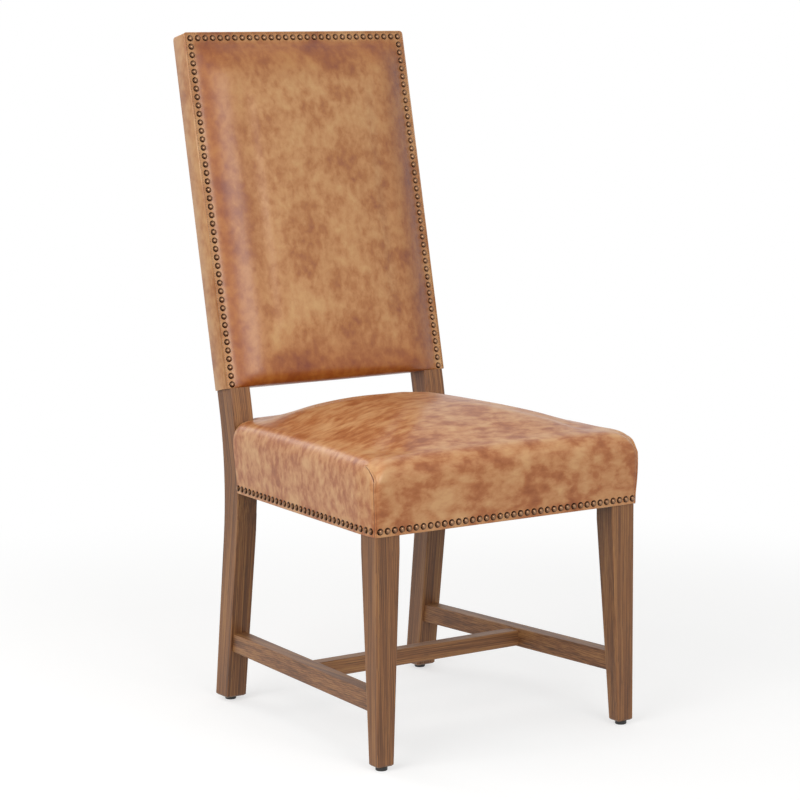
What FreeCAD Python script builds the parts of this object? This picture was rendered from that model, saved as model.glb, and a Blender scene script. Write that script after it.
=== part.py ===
import FreeCAD, Part
import math
import os
import re

import Sketcher

# A dining chair: a wooden frame joined with tenons, a crowned leather seat and a raked
# leather back, both edged with round-headed nails.
# In the frame's own axes x runs across, y runs back from the front faces of the front
# legs and z runs up from the floor. Left is the side of negative x. Each part is then
# moved along y, so that the origin lies on the floor under the middle of the chair.
# The back's parts are drawn upright, with y = 0 at the leather's front border and z = 0
# at its lower edge, and are leaned back together.

SIZES = {
    # plan and main heights of the frame
    "front_width": 510.6,
    "rear_width": 437.0,
    "frame_depth": 460.6,
    "seat_overhang": 53.9,
    "knee_height": 405.0,
    "foot_splay": 57.8,
    "back_rake": 11.85,
    "back_start": 145.4,
    # front legs
    "leg_width": 45.0,
    "leg_depth": 43.0,
    "leg_foot_width": 31.0,
    "leg_foot_depth": 25.0,
    "leg_shoulder_height": 345.0,
    # rear legs, one piece from the floor to the top of the back
    "post_width": 38.5,
    "post_depth": 46.0,
    "post_foot_depth": 38.0,
    "knee_round": 700.0,
    "post_lip": 3.0,
    "arris_round": 2.0,
    "foot_chamfer": 3.0,
    # seat rails, their tenons and corner blocks
    "rail_underside": 372.0,
    "rail_height": 70.0,
    "rail_thickness": 24.0,
    "rail_inset": 0.5,
    "tenon_length": 18.0,
    "tenon_thickness": 10.0,
    "tenon_shoulder": 10.0,
    "block_reach": 58.0,
    "block_height": 48.0,
    "block_drop": 12.0,
    "block_clearance": 0.5,
    "screw_diameter": 4.5,
    "screw_length": 46.0,
    "screw_head_diameter": 8.5,
    "screw_head_height": 2.6,
    "screw_sink": 4.0,
    # stretchers
    "stretcher_top": 122.3,
    "stretcher_height": 32.2,
    "stretcher_thickness": 27.0,
    "stretcher_inset": 5.2,
    "stretcher_housing": 10.0,
    "cross_top": 119.0,
    "cross_height": 27.0,
    "cross_thickness": 24.5,
    "cross_setback": 249.8,
    "cross_housing": 8.0,
    # glides under the feet
    "glide_height": 6.8,
    "glide_diameter": 19.0,
    "glide_edge": 1.5,
    "pin_diameter": 3.6,
    "pin_length": 24.0,
    "pin_head_diameter": 9.0,
    "pin_head_height": 1.6,
    "pin_sink": 1.2,
    # leather, foam and webbing
    "leather": 2.5,
    "leather_gap": 0.3,
    "band_thickness": 4.2,
    "lining": 0.8,
    "lining_margin": 6.0,
    "webbing_width": 50.0,
    "webbing_thickness": 1.5,
    "webbing_pitch": 74.0,
    "webbing_margin": 3.0,
    # seat cushion
    "hem_height": 371.0,
    "hem_width": 19.0,
    "seat_shoulder_height": 456.0,
    "seat_bulge": 4.3,
    "seat_edge_reach": 30.0,
    "seat_edge_rise": 36.0,
    "seat_crown": 50.0,
    "seat_crown_reach": 212.0,
    "seat_crown_power": 1.4,
    "seat_corner_round": 8.0,
    "seat_bend_round": 150.0,
    "seat_top_round": 44.0,
    "post_cut_gap": 0.5,
    # back cushion and its frame
    "back_width": 446.0,
    "back_length": 606.2,
    "back_depth": 40.5,
    "back_border": 17.0,
    "back_crown": 22.0,
    "back_edge_reach": 28.0,
    "back_edge_rise": 13.0,
    "back_crown_reach": 150.0,
    "back_roll": 2.0,
    "back_corner_round": 6.0,
    "back_top_round": 40.0,
    "back_rail_height": 60.0,
    "back_rail_thickness": 22.0,
    # nails
    "nail_diameter": 9.6,
    "nail_dome": 3.0,
    "shank_diameter": 1.8,
    "shank_length": 9.0,
    "shank_point": 3.0,
    "seat_nail_height": 9.5,
    "seat_nail_end": 6.3,
    "side_nail_start": 9.5,
    "side_nail_margin": 5.0,
    "back_nail_inset": 10.5,
    "back_nail_drop": 9.2,
    "back_nail_rise": 6.5,
}
SEAT_FRONT_NAILS = 38
SEAT_SIDE_NAILS = 33
BACK_SIDE_NAILS = 41
BACK_TOP_NAILS = 30
SEAT_BANDS = 5
BACK_BANDS = 5
# One overrun lets every cutting shape pass clear of the face that it cuts.
OVERRUN = 20.0
SIDES = (("left", -1), ("right", 1))

doc = FreeCAD.newDocument("DiningChair")
sheet = doc.addObject("Spreadsheet::Sheet", "Sizes")
for row, (alias, number) in enumerate(SIZES.items(), 1):
    sheet.set("A%d" % row, alias)
    sheet.set("B%d" % row, str(number))
    sheet.setAlias("B%d" % row, alias)
doc.recompute()

NAMES = re.compile(r"\b(" + "|".join(SIZES) + r")\b")


def bound(formula):
    """The formula with each size's name pointed at its cell."""
    return NAMES.sub(r"Sizes.\1", formula)


def value(formula):
    """The number that a formula of sizes gives now."""
    answer = sheet.evalExpression(bound(formula))
    return float(getattr(answer, "Value", answer))


# Angles and places that several parts share, as formulas of the sizes.
SEAT_DEPTH = "(frame_depth + seat_overhang)"
RAKE = "(back_rake * 1 deg)"
SPLAY = "atan(foot_splay / knee_height)"
HALF_BEND = f"(({RAKE} + {SPLAY}) / 2)"
TURN = f"(({RAKE} - {SPLAY}) / 2)"
POST_FACE_Y = f"(frame_depth + knee_round * (cos({TURN}) / cos({HALF_BEND}) - 1))"
BACK_Y = f"(frame_depth + back_start * sin({RAKE}) + post_lip * cos({RAKE}))"
BACK_Z = f"(knee_height + back_start * cos({RAKE}) - post_lip * sin({RAKE}))"
LEATHER_STAND = "(leather + leather_gap)"
FRONT_STAND = "(leather + leather_gap + seat_bulge)"
TOP_Y = f"({BACK_Y} + back_length * sin({RAKE}) + back_depth * cos({RAKE}))"
FRONT_Y = f"({FRONT_STAND} - ({FRONT_STAND} + {TOP_Y}) / 2)"
SIDE_SLOPE = "((front_width - rear_width) / 2 / (frame_depth - leg_depth))"
RAIL_TOP = "(rail_underside + rail_height)"
LEG_INNER = "(front_width / 2 - leg_width)"
POST_INNER = "(rear_width / 2 - post_width)"
REAR_RAIL_FRONT = f"({SEAT_DEPTH} - rail_thickness)"
STRETCHER_REAR = "(frame_depth + foot_splay * (1 - stretcher_top / knee_height))"
STRETCHER_SLOPE = f"((front_width - rear_width) / 2 / ({STRETCHER_REAR} - leg_foot_depth))"


def side_x(y, inset="0"):
    """Distance from the middle to the seat's side at y: straight past the leg, then slanting in."""
    return f"(front_width / 2 - ({inset}) - max(0 ; ({y}) - leg_depth) * {SIDE_SLOPE})"


def stretcher_x(y, inset):
    """Distance from the middle to the line through the legs' outer faces at the stretchers."""
    return f"(front_width / 2 - ({inset}) - (({y}) - leg_foot_depth) * {STRETCHER_SLOPE})"


def back_point(depth, height):
    """A point of the leaned back as y and z in the frame's axes."""
    y = f"({BACK_Y} + ({depth}) * cos({RAKE}) + ({height}) * sin({RAKE}))"
    z = f"({BACK_Z} - ({depth}) * sin({RAKE}) + ({height}) * cos({RAKE}))"
    return y, z


def stand(part, leaned=False):
    """Place a part: upright parts move along y only, the back's parts lean as well."""
    if leaned:
        part.Placement = FreeCAD.Placement(
            FreeCAD.Vector(0, value(f"{FRONT_Y} + {BACK_Y}"), value(BACK_Z)),
            FreeCAD.Rotation(FreeCAD.Vector(-1, 0, 0), value("back_rake")),
        )
        part.setExpression("Placement.Base.y", bound(f"{FRONT_Y} + {BACK_Y}"))
        part.setExpression("Placement.Base.z", bound(BACK_Z))
        part.setExpression("Placement.Rotation.Angle", bound(RAKE))
    else:
        part.Placement = FreeCAD.Placement(FreeCAD.Vector(0, value(FRONT_Y), 0), FreeCAD.Rotation())
        part.setExpression("Placement.Base.y", bound(FRONT_Y))


def new_body(name, leaned=False):
    """An empty body in the frame's axes or in the back's."""
    body = doc.addObject("PartDesign::Body", name)
    stand(body, leaned)
    return body


def polygon(body, role, corners, offset="0"):
    """A closed sketch on an origin plane, with each corner tied to two formulas."""
    plane = next(item for item in body.Origin.OriginFeatures if item.Role == role)
    sketch = body.newObject("Sketcher::SketchObject", body.Name + "_outline")
    sketch.AttachmentSupport = [(plane, "")]
    sketch.MapMode = "FlatFace"
    sketch.setExpression("AttachmentOffset.Base.z", bound(offset))
    points = [FreeCAD.Vector(value(u), value(v), 0) for u, v in corners]
    count = len(points)
    for index in range(count):
        sketch.addGeometry(Part.LineSegment(points[index], points[(index + 1) % count]), False)
    for index in range(count):
        sketch.addConstraint(Sketcher.Constraint("Coincident", index, 2, (index + 1) % count, 1))
    for index, corner in enumerate(corners):
        start = (points[index].x, points[index].y)
        for kind, formula, number in zip(("DistanceX", "DistanceY"), corner, start):
            tie = sketch.addConstraint(Sketcher.Constraint(kind, -1, 1, index, 1, number))
            sketch.setExpression(f"Constraints[{tie}]", bound(formula))
    return sketch


def pad(body, sketch, length):
    """Extrude a sketch along its normal."""
    feature = body.newObject("PartDesign::Pad", body.Name + "_pad")
    feature.Profile = sketch
    feature.setExpression("Length", bound(length))
    doc.recompute()
    return feature


def rounded_edges(body, radius, chosen, kind="PartDesign::Fillet"):
    """Round or chamfer the body's edges that the test chooses."""
    tip = body.Tip
    names = [f"Edge{n}" for n, edge in enumerate(tip.Shape.Edges, 1) if chosen(edge)]
    feature = body.newObject(kind, body.Name + "_edges")
    feature.Base = (tip, names)
    feature.setExpression("Radius" if kind.endswith("Fillet") else "Size", bound(radius))
    doc.recompute()
    return feature


def direction(edge):
    """Unit vector from an edge's first end to its last."""
    ends = edge.Vertexes
    return (ends[-1].Point - ends[0].Point).normalize() if len(ends) > 1 else FreeCAD.Vector()


def chamfered_foot(body):
    """Chamfer the four edges round a leg's lower end."""
    level = value("glide_height + arris_round")
    rounded_edges(body, "foot_chamfer", lambda edge: edge.BoundBox.ZMax < level, "PartDesign::Chamfer")


def upright(edge):
    """True for an edge that runs mostly upwards."""
    return abs(direction(edge).z) > 0.8


def fitted(label, base, *driven):
    """The base with a socket cut for each part that is let or driven into it."""
    part = base
    for tool in driven:
        cut = doc.addObject("Part::Cut", label + "_fitted")
        cut.Base = part
        cut.Tool = tool
        part = cut
    part.Label = label
    return part


def coded(label, shape, leaned=False):
    """A part whose shape comes from code that reads the sheet."""
    feature = doc.addObject("Part::Feature", label)
    feature.Shape = shape
    stand(feature, leaned)
    return feature


def mirrored(corners):
    """Half an outline, given from the middle line outwards, with its mirror image added."""
    return corners + [(f"-({x})", y) for x, y in reversed(corners)]


def rounded_wire(corners, radii, place):
    """A closed wire with a rounding at each corner; place turns its 2-D points into 3-D."""
    count = len(corners)
    starts, middles, ends = [], [], []
    for index, (x, y) in enumerate(corners):
        before, after = corners[index - 1], corners[(index + 1) % count]
        back = FreeCAD.Vector(before[0] - x, before[1] - y, 0).normalize()
        ahead = FreeCAD.Vector(after[0] - x, after[1] - y, 0).normalize()
        half = back.getAngle(ahead) / 2
        inward = (back + ahead).normalize()
        corner = FreeCAD.Vector(x, y, 0)
        radius = radii[index]
        starts.append(corner + back * (radius / math.tan(half)))
        middles.append(corner + inward * (radius / math.sin(half) - radius))
        ends.append(corner + ahead * (radius / math.tan(half)))
    edges = []
    for index in range(count):
        arc = [place(points[index].x, points[index].y) for points in (starts, middles, ends)]
        edges.append(Part.Arc(*arc).toShape())
        following = starts[(index + 1) % count]
        edges.append(Part.LineSegment(arc[2], place(following.x, following.y)).toShape())
    return Part.Wire(edges)


def smooth_loft(wires):
    """A closed solid that passes smoothly through parallel outlines."""
    cubic = 3
    return Part.makeLoft(wires, True, False, False, cubic)


def block(low, high):
    """A box between two corners."""
    low, high = FreeCAD.Vector(*low), FreeCAD.Vector(*high)
    span = high - low
    return Part.makeBox(span.x, span.y, span.z, low)


def turned(outline, start, heading):
    """A solid of revolution: radius and height pairs spun about z, stood at a place and heading.

    A pair may be a list of two pairs: the arc's middle and its end.
    """
    edges = []
    here = FreeCAD.Vector(outline[0][0], 0, outline[0][1])
    for item in outline[1:] + outline[:1]:
        if isinstance(item, list):
            middle, end = (FreeCAD.Vector(r, 0, h) for r, h in item)
            edges.append(Part.Arc(here, middle, end).toShape())
        else:
            end = FreeCAD.Vector(item[0], 0, item[1])
            edges.append(Part.LineSegment(here, end).toShape())
        here = end
    face = Part.Face(Part.Wire(edges))
    solid = face.revolve(FreeCAD.Vector(), FreeCAD.Vector(0, 0, 1), 360)
    solid.Placement = FreeCAD.Placement(start, FreeCAD.Rotation(FreeCAD.Vector(0, 0, 1), heading))
    return solid


# Nails: a low dome over a pointed shank.

def nail(start, heading):
    """One nail with its head on a surface at start, facing the heading."""
    radius, dome = value("nail_diameter / 2"), value("nail_dome")
    ball = (radius ** 2 + dome ** 2) / (2 * dome)
    half = math.asin(radius / ball) / 2
    rim_middle = (ball * math.sin(half), dome - ball + ball * math.cos(half))
    shank, length, point = value("shank_diameter / 2"), value("shank_length"), value("shank_point")
    outline = [
        (0, -length), (shank, point - length), (shank, 0), (radius, 0), [rim_middle, (0, dome)],
    ]
    return turned(outline, start, heading)


def nail_hole(start, heading):
    """The straight hole that a nail's shank fills, open at the surface."""
    shank, length = value("shank_diameter / 2"), value("shank_length")
    outline = [(0, -length), (shank, -length), (shank, OVERRUN), (0, OVERRUN)]
    return turned(outline, start, heading)


def nail_row(label, places, leaned=False):
    """A row of nails as one part, and the row of its holes."""
    nails = Part.makeCompound([nail(start, heading) for start, heading in places])
    coded(label, nails, leaned)
    holes = Part.makeCompound([nail_hole(start, heading) for start, heading in places])
    return coded(label + "_holes", holes, leaned)


def spaced(first, last, count):
    """Evenly spaced points from the first to the last."""
    step = (last - first) * (1 / (count - 1))
    return [first + step * index for index in range(count)]


def make_seat_nails():
    """The rows along the seat's hem, and their holes: front, left and right."""
    height = value("hem_height + seat_nail_height")
    face = -value(LEATHER_STAND)
    end = value("front_width / 2 - seat_nail_end")
    forward = FreeCAD.Vector(0, -1, 0)
    ends = [FreeCAD.Vector(sign * end, face, height) for _, sign in SIDES]
    front = [(start, forward) for start in spaced(*ends, SEAT_FRONT_NAILS)]
    holes = {"front": nail_row("seat_nails_front", front)}
    wide, slope = value(f"front_width / 2 + {LEATHER_STAND}"), value(SIDE_SLOPE)
    bend = value("leg_depth")
    last = value("frame_depth + side_nail_margin")
    depths = spaced(value("side_nail_start"), last, SEAT_SIDE_NAILS)
    for name, sign in SIDES:
        places = []
        for y in depths:
            start = FreeCAD.Vector(sign * (wide - max(0, y - bend) * slope), y, height)
            places.append((start, FreeCAD.Vector(sign, slope if y > bend else 0, 0)))
        holes[name] = nail_row(f"seat_nails_{name}", places)
    return holes


def make_back_nails():
    """The rows along the back's border, and their holes: left, right and top."""
    x = value("back_width / 2 - back_nail_inset")
    top = value("back_length - back_nail_drop")
    low = value("back_nail_rise")
    pitch = (top - low) / BACK_SIDE_NAILS
    forward = FreeCAD.Vector(0, -1, 0)
    holes = {}
    for name, sign in SIDES:
        ends = [FreeCAD.Vector(sign * x, 0, height) for height in (low, top - pitch)]
        places = [(start, forward) for start in spaced(*ends, BACK_SIDE_NAILS)]
        holes[name] = nail_row(f"back_nails_{name}", places, True)
    ends = [FreeCAD.Vector(sign * x, 0, top) for _, sign in SIDES]
    places = [(start, forward) for start in spaced(*ends, BACK_TOP_NAILS)]
    holes["top"] = nail_row("back_nails_top", places, True)
    return holes


# Glides: a moulded disc under each foot, held by a headed pin.

def foot_points():
    """The middle of each foot on the floor, by name."""
    front_x = value("front_width / 2 - leg_foot_width / 2")
    front_y = value("leg_foot_depth / 2")
    rear_x = value("rear_width / 2 - post_width / 2")
    rear_y = value("frame_depth + foot_splay + post_foot_depth / 2")
    points = {}
    for name, sign in SIDES:
        points[f"front_{name}"] = FreeCAD.Vector(sign * front_x, front_y, 0)
        points[f"rear_{name}"] = FreeCAD.Vector(sign * rear_x, rear_y, 0)
    return points


def make_glides():
    """Four discs and the group of their pins."""
    radius, height, edge = value("glide_diameter / 2"), value("glide_height"), value("glide_edge")
    slope = edge * (1 - math.sqrt(0.5))
    disc = [(0, 0), (radius - edge, 0), [(radius - slope, slope), (radius, edge)], (radius, height), (0, height)]
    pin_radius, head = value("pin_diameter / 2"), value("pin_head_diameter / 2")
    sink, top = value("pin_sink"), value("pin_sink + pin_head_height")
    length = value("pin_length")
    pin = [
        (0, sink), (head, sink), (head, top), (pin_radius, top),
        (pin_radius, length - pin_radius), (0, length),
    ]
    up = FreeCAD.Vector(0, 0, 1)
    recess = [(0, -OVERRUN), (head, -OVERRUN), (head, sink), (0, sink)]
    pins = coded("glide_pins", Part.makeCompound([turned(pin, p, up) for p in foot_points().values()]))
    for name, point in foot_points().items():
        glide = turned(disc, point, up).cut([turned(pin, point, up), turned(recess, point, up)])
        coded(f"glide_{name}", glide)
    return pins


# The wooden frame.

def make_front_leg(name, sign):
    """A leg, square above its shoulder and tapered below on its two inner faces."""
    body = new_body(f"front_leg_{name}_blank")

    def section(width, depth, height):
        corners = [
            ("front_width / 2", "0"),
            ("front_width / 2", depth),
            (f"front_width / 2 - {width}", depth),
            (f"front_width / 2 - {width}", "0"),
        ]
        corners = [(f"{sign} * ({x})", y) for x, y in corners]
        return polygon(body, "XY_Plane", corners, height)

    foot = section("leg_foot_width", "leg_foot_depth", "glide_height")
    shoulder = section("leg_width", "leg_depth", "leg_shoulder_height")
    taper = body.newObject("PartDesign::AdditiveLoft", body.Name + "_taper")
    taper.Profile = foot
    taper.Sections = [shoulder]
    taper.Ruled = True
    doc.recompute()
    pad(body, shoulder, f"{RAIL_TOP} - leg_shoulder_height")
    chamfered_foot(body)
    rounded_edges(body, "arris_round", lambda edge: upright(edge) and edge.Length > value("leg_width"))
    return body


def make_rear_leg(name, sign):
    """A leg and back post in one, bent at the knee and thinned where the back covers it."""
    body = new_body(f"rear_leg_{name}_blank")
    inner_front = "(leather + leather_gap)"
    inner_rear = "(back_depth - leather - leather_gap)"
    hidden_top = "(back_length - band_thickness - leather_gap)"
    foot_y = "(frame_depth + foot_splay * (1 - glide_height / knee_height))"
    knee_depth = f"(post_depth / cos({HALF_BEND}))"
    corners = [
        (foot_y, "glide_height"),
        (f"{foot_y} + post_foot_depth / cos({SPLAY})", "glide_height"),
        (f"frame_depth + {knee_depth} * cos({TURN})", f"knee_height - {knee_depth} * sin({TURN})"),
        back_point("post_depth - post_lip", "0"),
        back_point(inner_rear, "0"),
        back_point(inner_rear, hidden_top),
        back_point(inner_front, hidden_top),
        back_point(inner_front, "0"),
        back_point("-post_lip", "0"),
        ("frame_depth", "knee_height"),
    ]
    inner = "rear_width / 2 - post_width" if sign > 0 else "-rear_width / 2"
    pad(body, polygon(body, "YZ_Plane", corners, inner), "post_width")
    knees = [FreeCAD.Vector(0, value(corners[n][0]), value(corners[n][1])) for n in (2, 9)]

    def at_knee(edge):
        middle = edge.CenterOfMass
        return any((FreeCAD.Vector(0, middle.y, middle.z) - knee).Length < value("arris_round") for knee in knees)

    rounded_edges(body, "knee_round", at_knee)
    chamfered_foot(body)
    cover = value(BACK_Z)
    rounded_edges(
        body, "arris_round",
        lambda edge: upright(edge) and edge.Length > value("post_width") and edge.CenterOfMass.z < cover,
    )
    return body


def make_rail(name, outline, tenon):
    """A seat rail: a board and, through its middle, the longer piece that makes both tenons."""
    body = new_body(f"seat_rail_{name}_blank")
    pad(body, polygon(body, "XY_Plane", outline, "rail_underside"), "rail_height")
    core = polygon(body, "XY_Plane", tenon, "rail_underside + tenon_shoulder")
    pad(body, core, "rail_height - 2 * tenon_shoulder")
    return body


def make_seat_rails():
    """The four seat rails, before the nails are driven."""
    cheek = "((rail_thickness - tenon_thickness) / 2)"
    rails = {}
    for name, reach, face in (("front", LEG_INNER, "rail_inset"), ("rear", POST_INNER, REAR_RAIL_FRONT)):
        board = mirrored([(reach, face), (reach, f"{face} + rail_thickness")])
        long_reach = f"{reach} + tenon_length"
        core = mirrored([(long_reach, f"{face} + {cheek}"), (long_reach, f"{face} + {cheek} + tenon_thickness")])
        rails[name] = make_rail(name, board, core)
    for name, sign in SIDES:
        def strip(first, last, outer, inner):
            corners = [
                (side_x(first, outer), first), (side_x(last, outer), last),
                (side_x(last, inner), last), (side_x(first, inner), first),
            ]
            return [(f"{sign} * ({x})", y) for x, y in corners]

        rails[name] = make_rail(
            name,
            strip("leg_depth", POST_FACE_Y, "rail_inset", "rail_inset + rail_thickness"),
            strip(
                "leg_depth - tenon_length", f"{POST_FACE_Y} + tenon_length",
                f"rail_inset + {cheek}", f"rail_inset + {cheek} + tenon_thickness",
            ),
        )
    return rails


def make_stretchers():
    """Two side stretchers let into the legs, and one across let into them."""
    stretchers = {}
    outer, inner = "stretcher_inset", "stretcher_inset + stretcher_thickness"
    front_end = (
        "(leg_foot_depth + (leg_depth - leg_foot_depth) * (stretcher_top - stretcher_height - glide_height)"
        " / (leg_shoulder_height - glide_height) - stretcher_housing)"
    )
    rear_end = f"({STRETCHER_REAR} + 2 * stretcher_housing)"
    for name, sign in SIDES:
        body = new_body(f"side_stretcher_{name}_blank")
        corners = [
            (stretcher_x(front_end, outer), front_end), (stretcher_x(rear_end, outer), rear_end),
            (stretcher_x(rear_end, inner), rear_end), (stretcher_x(front_end, inner), front_end),
        ]
        corners = [(f"{sign} * ({x})", y) for x, y in corners]
        pad(body, polygon(body, "XY_Plane", corners, "stretcher_top - stretcher_height"), "stretcher_height")
        rounded_edges(body, "arris_round", lambda edge: abs(direction(edge).y) > 0.8)
        stretchers[name] = body
    body = new_body("cross_stretcher")
    rear = "cross_setback + cross_thickness"
    reach = [stretcher_x(y, f"{inner} - cross_housing") for y in ("cross_setback", rear)]
    corners = mirrored([(reach[0], "cross_setback"), (reach[1], rear)])
    pad(body, polygon(body, "XY_Plane", corners, "cross_top - cross_height"), "cross_height")
    rounded_edges(body, "arris_round", lambda edge: abs(direction(edge).x) > 0.8)
    stretchers["cross"] = body
    return stretchers


def block_outlines():
    """Plan of each kind of corner block, notched round its leg, in positive x."""
    clear = "block_clearance"
    inner = "rail_inset + rail_thickness"
    front_y, rear_y = f"leg_depth + {clear}", f"{POST_FACE_Y} - {clear}"
    front = [
        (f"{LEG_INNER} - {clear}", inner),
        (f"{LEG_INNER} - block_reach", inner),
        (side_x("leg_depth + block_reach", inner), "leg_depth + block_reach"),
        (side_x(front_y, inner), front_y),
        (f"{LEG_INNER} - {clear}", front_y),
    ]
    rear = [
        (f"{POST_INNER} - {clear}", REAR_RAIL_FRONT),
        (f"{POST_INNER} - block_reach", REAR_RAIL_FRONT),
        (side_x(f"{POST_FACE_Y} - block_reach", inner), f"{POST_FACE_Y} - block_reach"),
        (side_x(rear_y, inner), rear_y),
        (f"{POST_INNER} - {clear}", rear_y),
    ]
    return {"front": front, "rear": rear}


def screw_line(corners):
    """Where a block's screw starts and which way its head faces, on the side of positive x."""
    points = [FreeCAD.Vector(value(x), value(y), 0) for x, y in corners]
    middle = (points[1] + points[2]) * 0.5
    heading = (middle - points[4]).normalize()
    start = middle - heading * value("screw_sink")
    start.z = value(f"{RAIL_TOP} - block_drop - block_height / 2")
    return start, heading


def make_screws():
    """One screw through each corner block into its leg."""
    radius, head = value("screw_diameter / 2"), value("screw_head_diameter / 2")
    depth, length = value("screw_head_height"), value("screw_length")
    outline = [(0, 0), (head, 0), (radius, -depth), (radius, head - length), (0, -length)]
    solids = []
    for corners in block_outlines().values():
        start, heading = screw_line(corners)
        for _, sign in SIDES:
            place = FreeCAD.Vector(sign * start.x, start.y, start.z)
            solids.append(turned(outline, place, FreeCAD.Vector(sign * heading.x, heading.y, 0)))
    return coded("corner_block_screws", Part.makeCompound(solids))


def make_blocks(screws):
    """Four corner blocks with a counterbored hole for the screw."""
    head = value("screw_head_diameter / 2")
    bore = [(0, 0), (head, 0), (head, OVERRUN), (0, OVERRUN)]
    for place, corners in block_outlines().items():
        start, heading = screw_line(corners)
        for name, sign in SIDES:
            body = new_body(f"corner_block_{place}_{name}_blank")
            outline = [(f"{sign} * ({x})", y) for x, y in corners]
            sketch = polygon(body, "XY_Plane", outline, f"{RAIL_TOP} - block_drop - block_height")
            pad(body, sketch, "block_height")
            access = coded(
                f"screw_access_{place}_{name}",
                turned(
                    bore, FreeCAD.Vector(sign * start.x, start.y, start.z),
                    FreeCAD.Vector(sign * heading.x, heading.y, 0),
                ),
            )
            fitted(f"corner_block_{place}_{name}", body, access, screws)


def make_back_rails():
    """The two rails between the posts, drawn in the back's axes."""
    rails = []
    low = "(band_thickness + leather_gap)"
    high = "(back_length - band_thickness - leather_gap - back_rail_height)"
    cheek = "((back_rail_thickness - tenon_thickness) / 2)"
    rear = "(leather + leather_gap) + back_rail_thickness"
    for name, base in (("back_bottom_rail", low), ("back_top_rail", high)):
        body = new_body(f"{name}_blank", True)
        board = mirrored([(POST_INNER, "(leather + leather_gap)"), (POST_INNER, rear)])
        pad(body, polygon(body, "XY_Plane", board, base), "back_rail_height")
        reach = f"{POST_INNER} + tenon_length"
        core = mirrored([(reach, f"(leather + leather_gap) + {cheek}"), (reach, f"{rear} - {cheek}")])
        core = polygon(body, "XY_Plane", core, f"{base} + tenon_shoulder")
        pad(body, core, "back_rail_height - 2 * tenon_shoulder")
        rails.append(body)
    return rails


# The seat's upholstery.

def seat_outline(inset, radius, height):
    """The seat's rounded plan, drawn in by an inset, at one height."""
    front = -value(LEATHER_STAND) + inset
    rear = value(f"{SEAT_DEPTH} + {LEATHER_STAND}") - inset
    bend = value("leg_depth") + inset
    wide = value(f"front_width / 2 + {LEATHER_STAND}") - inset
    narrow = wide - (rear - bend) * value(SIDE_SLOPE)
    corners = [(-wide, front), (wide, front), (wide, bend), (narrow, rear), (-narrow, rear), (-wide, bend)]
    large = value("seat_bend_round")
    straight = bend - front - large * math.tan(math.atan(value(SIDE_SLOPE)) / 2)
    straight_share = 0.9
    small = min(radius, narrow / 2, straight * straight_share)
    radii = [small, small, large, small, small, large]
    return rounded_wire(corners, radii, lambda x, y: FreeCAD.Vector(x, y, height))


def seat_stations(inward):
    """Inset, height and corner radius up the cushion: wall, then turned edge and crown."""
    wall_shares = (0, 0.5, 1)
    edge_shares = (0, 0.27, 0.54, 0.8)
    crown_shares = (0.14, 0.34, 0.56, 0.78, 0.92)
    low, shoulder = value("hem_height + hem_width"), value("seat_shoulder_height")
    bulge, reach, rise = value("seat_bulge"), value("seat_edge_reach"), value("seat_edge_rise")
    crown, far, power = value("seat_crown"), value("seat_crown_reach"), value("seat_crown_power")
    tight, loose = value("seat_corner_round"), value("seat_top_round")
    wall, top = [], []
    for share in wall_shares:
        inset = inward - bulge * (1 - (1 - share) ** 2)
        wall.append((inset, low + share * (shoulder - low), tight * (1 + share)))
    for share in edge_shares:
        angle = share * math.pi / 2
        inset = reach * (1 - math.cos(angle)) - bulge + inward * math.cos(angle)
        height = shoulder + (rise - inward) * math.sin(angle)
        top.append((inset, height, 2 * tight + share * (loose - 2 * tight)))
    for share in crown_shares:
        inset = reach - bulge + share * (far - reach)
        height = shoulder + rise - inward + crown * (1 - (1 - share) ** power)
        top.append((inset, height, loose))
    return wall, top


def seat_form(inward, low):
    """The cushion's solid form, drawn in by a thickness and standing on a level."""
    wall, top = seat_stations(inward)
    lofts = [
        smooth_loft([seat_outline(inset, radius, height) for inset, height, radius in stations])
        for stations in (wall, top)
    ]
    foot = Part.Face(seat_outline(inward, value("seat_corner_round"), low))
    return foot.extrude(FreeCAD.Vector(0, 0, wall[0][1] - low)).fuse(lofts)


def post_cutter(gap):
    """The room that the posts take from the seat's rear corners, with a gap all round."""
    rake, half, turn = (math.radians(value(angle)) for angle in (RAKE, HALF_BEND, TURN))
    bend = value("knee_round") + gap
    centre_y = value("frame_depth") + value("knee_round") / math.cos(half) * math.cos(turn)
    centre_z = value("knee_height") - value("knee_round") / math.cos(half) * math.sin(turn)

    def on_bend(angle):
        return FreeCAD.Vector(0, centre_y - bend * math.cos(angle), centre_z + bend * math.sin(angle))

    low, high = on_bend(-rake / 2), on_bend(rake)
    top = value(BACK_Z)
    raised = FreeCAD.Vector(0, high.y + (top - high.z) * math.tan(rake), top)
    rear = value(TOP_Y)
    edges = [
        Part.Arc(low, on_bend(rake / 4), high).toShape(),
        Part.LineSegment(high, raised).toShape(),
        Part.LineSegment(raised, FreeCAD.Vector(0, rear, top)).toShape(),
        Part.LineSegment(FreeCAD.Vector(0, rear, top), FreeCAD.Vector(0, rear, low.z)).toShape(),
        Part.LineSegment(FreeCAD.Vector(0, rear, low.z), low).toShape(),
    ]
    face = Part.Face(Part.Wire(edges))
    inner = value(POST_INNER) - gap
    span = value("front_width / 2") + OVERRUN - inner
    right = face.extrude(FreeCAD.Vector(span, 0, 0))
    right.translate(FreeCAD.Vector(inner, 0, 0))
    return [right, right.mirror(FreeCAD.Vector(), FreeCAD.Vector(1, 0, 0))]


def make_seat_cover(holes):
    """The seat's leather: a crowned shell, open below and cut round the posts."""
    hem = value("hem_height")
    shell = seat_form(0, hem).cut(seat_form(value("leather"), hem - OVERRUN))
    shell = shell.cut(post_cutter(value("post_cut_gap")))
    loose = coded("seat_leather_blank", shell)
    return fitted("seat_leather", loose, *holes.values())


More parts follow.
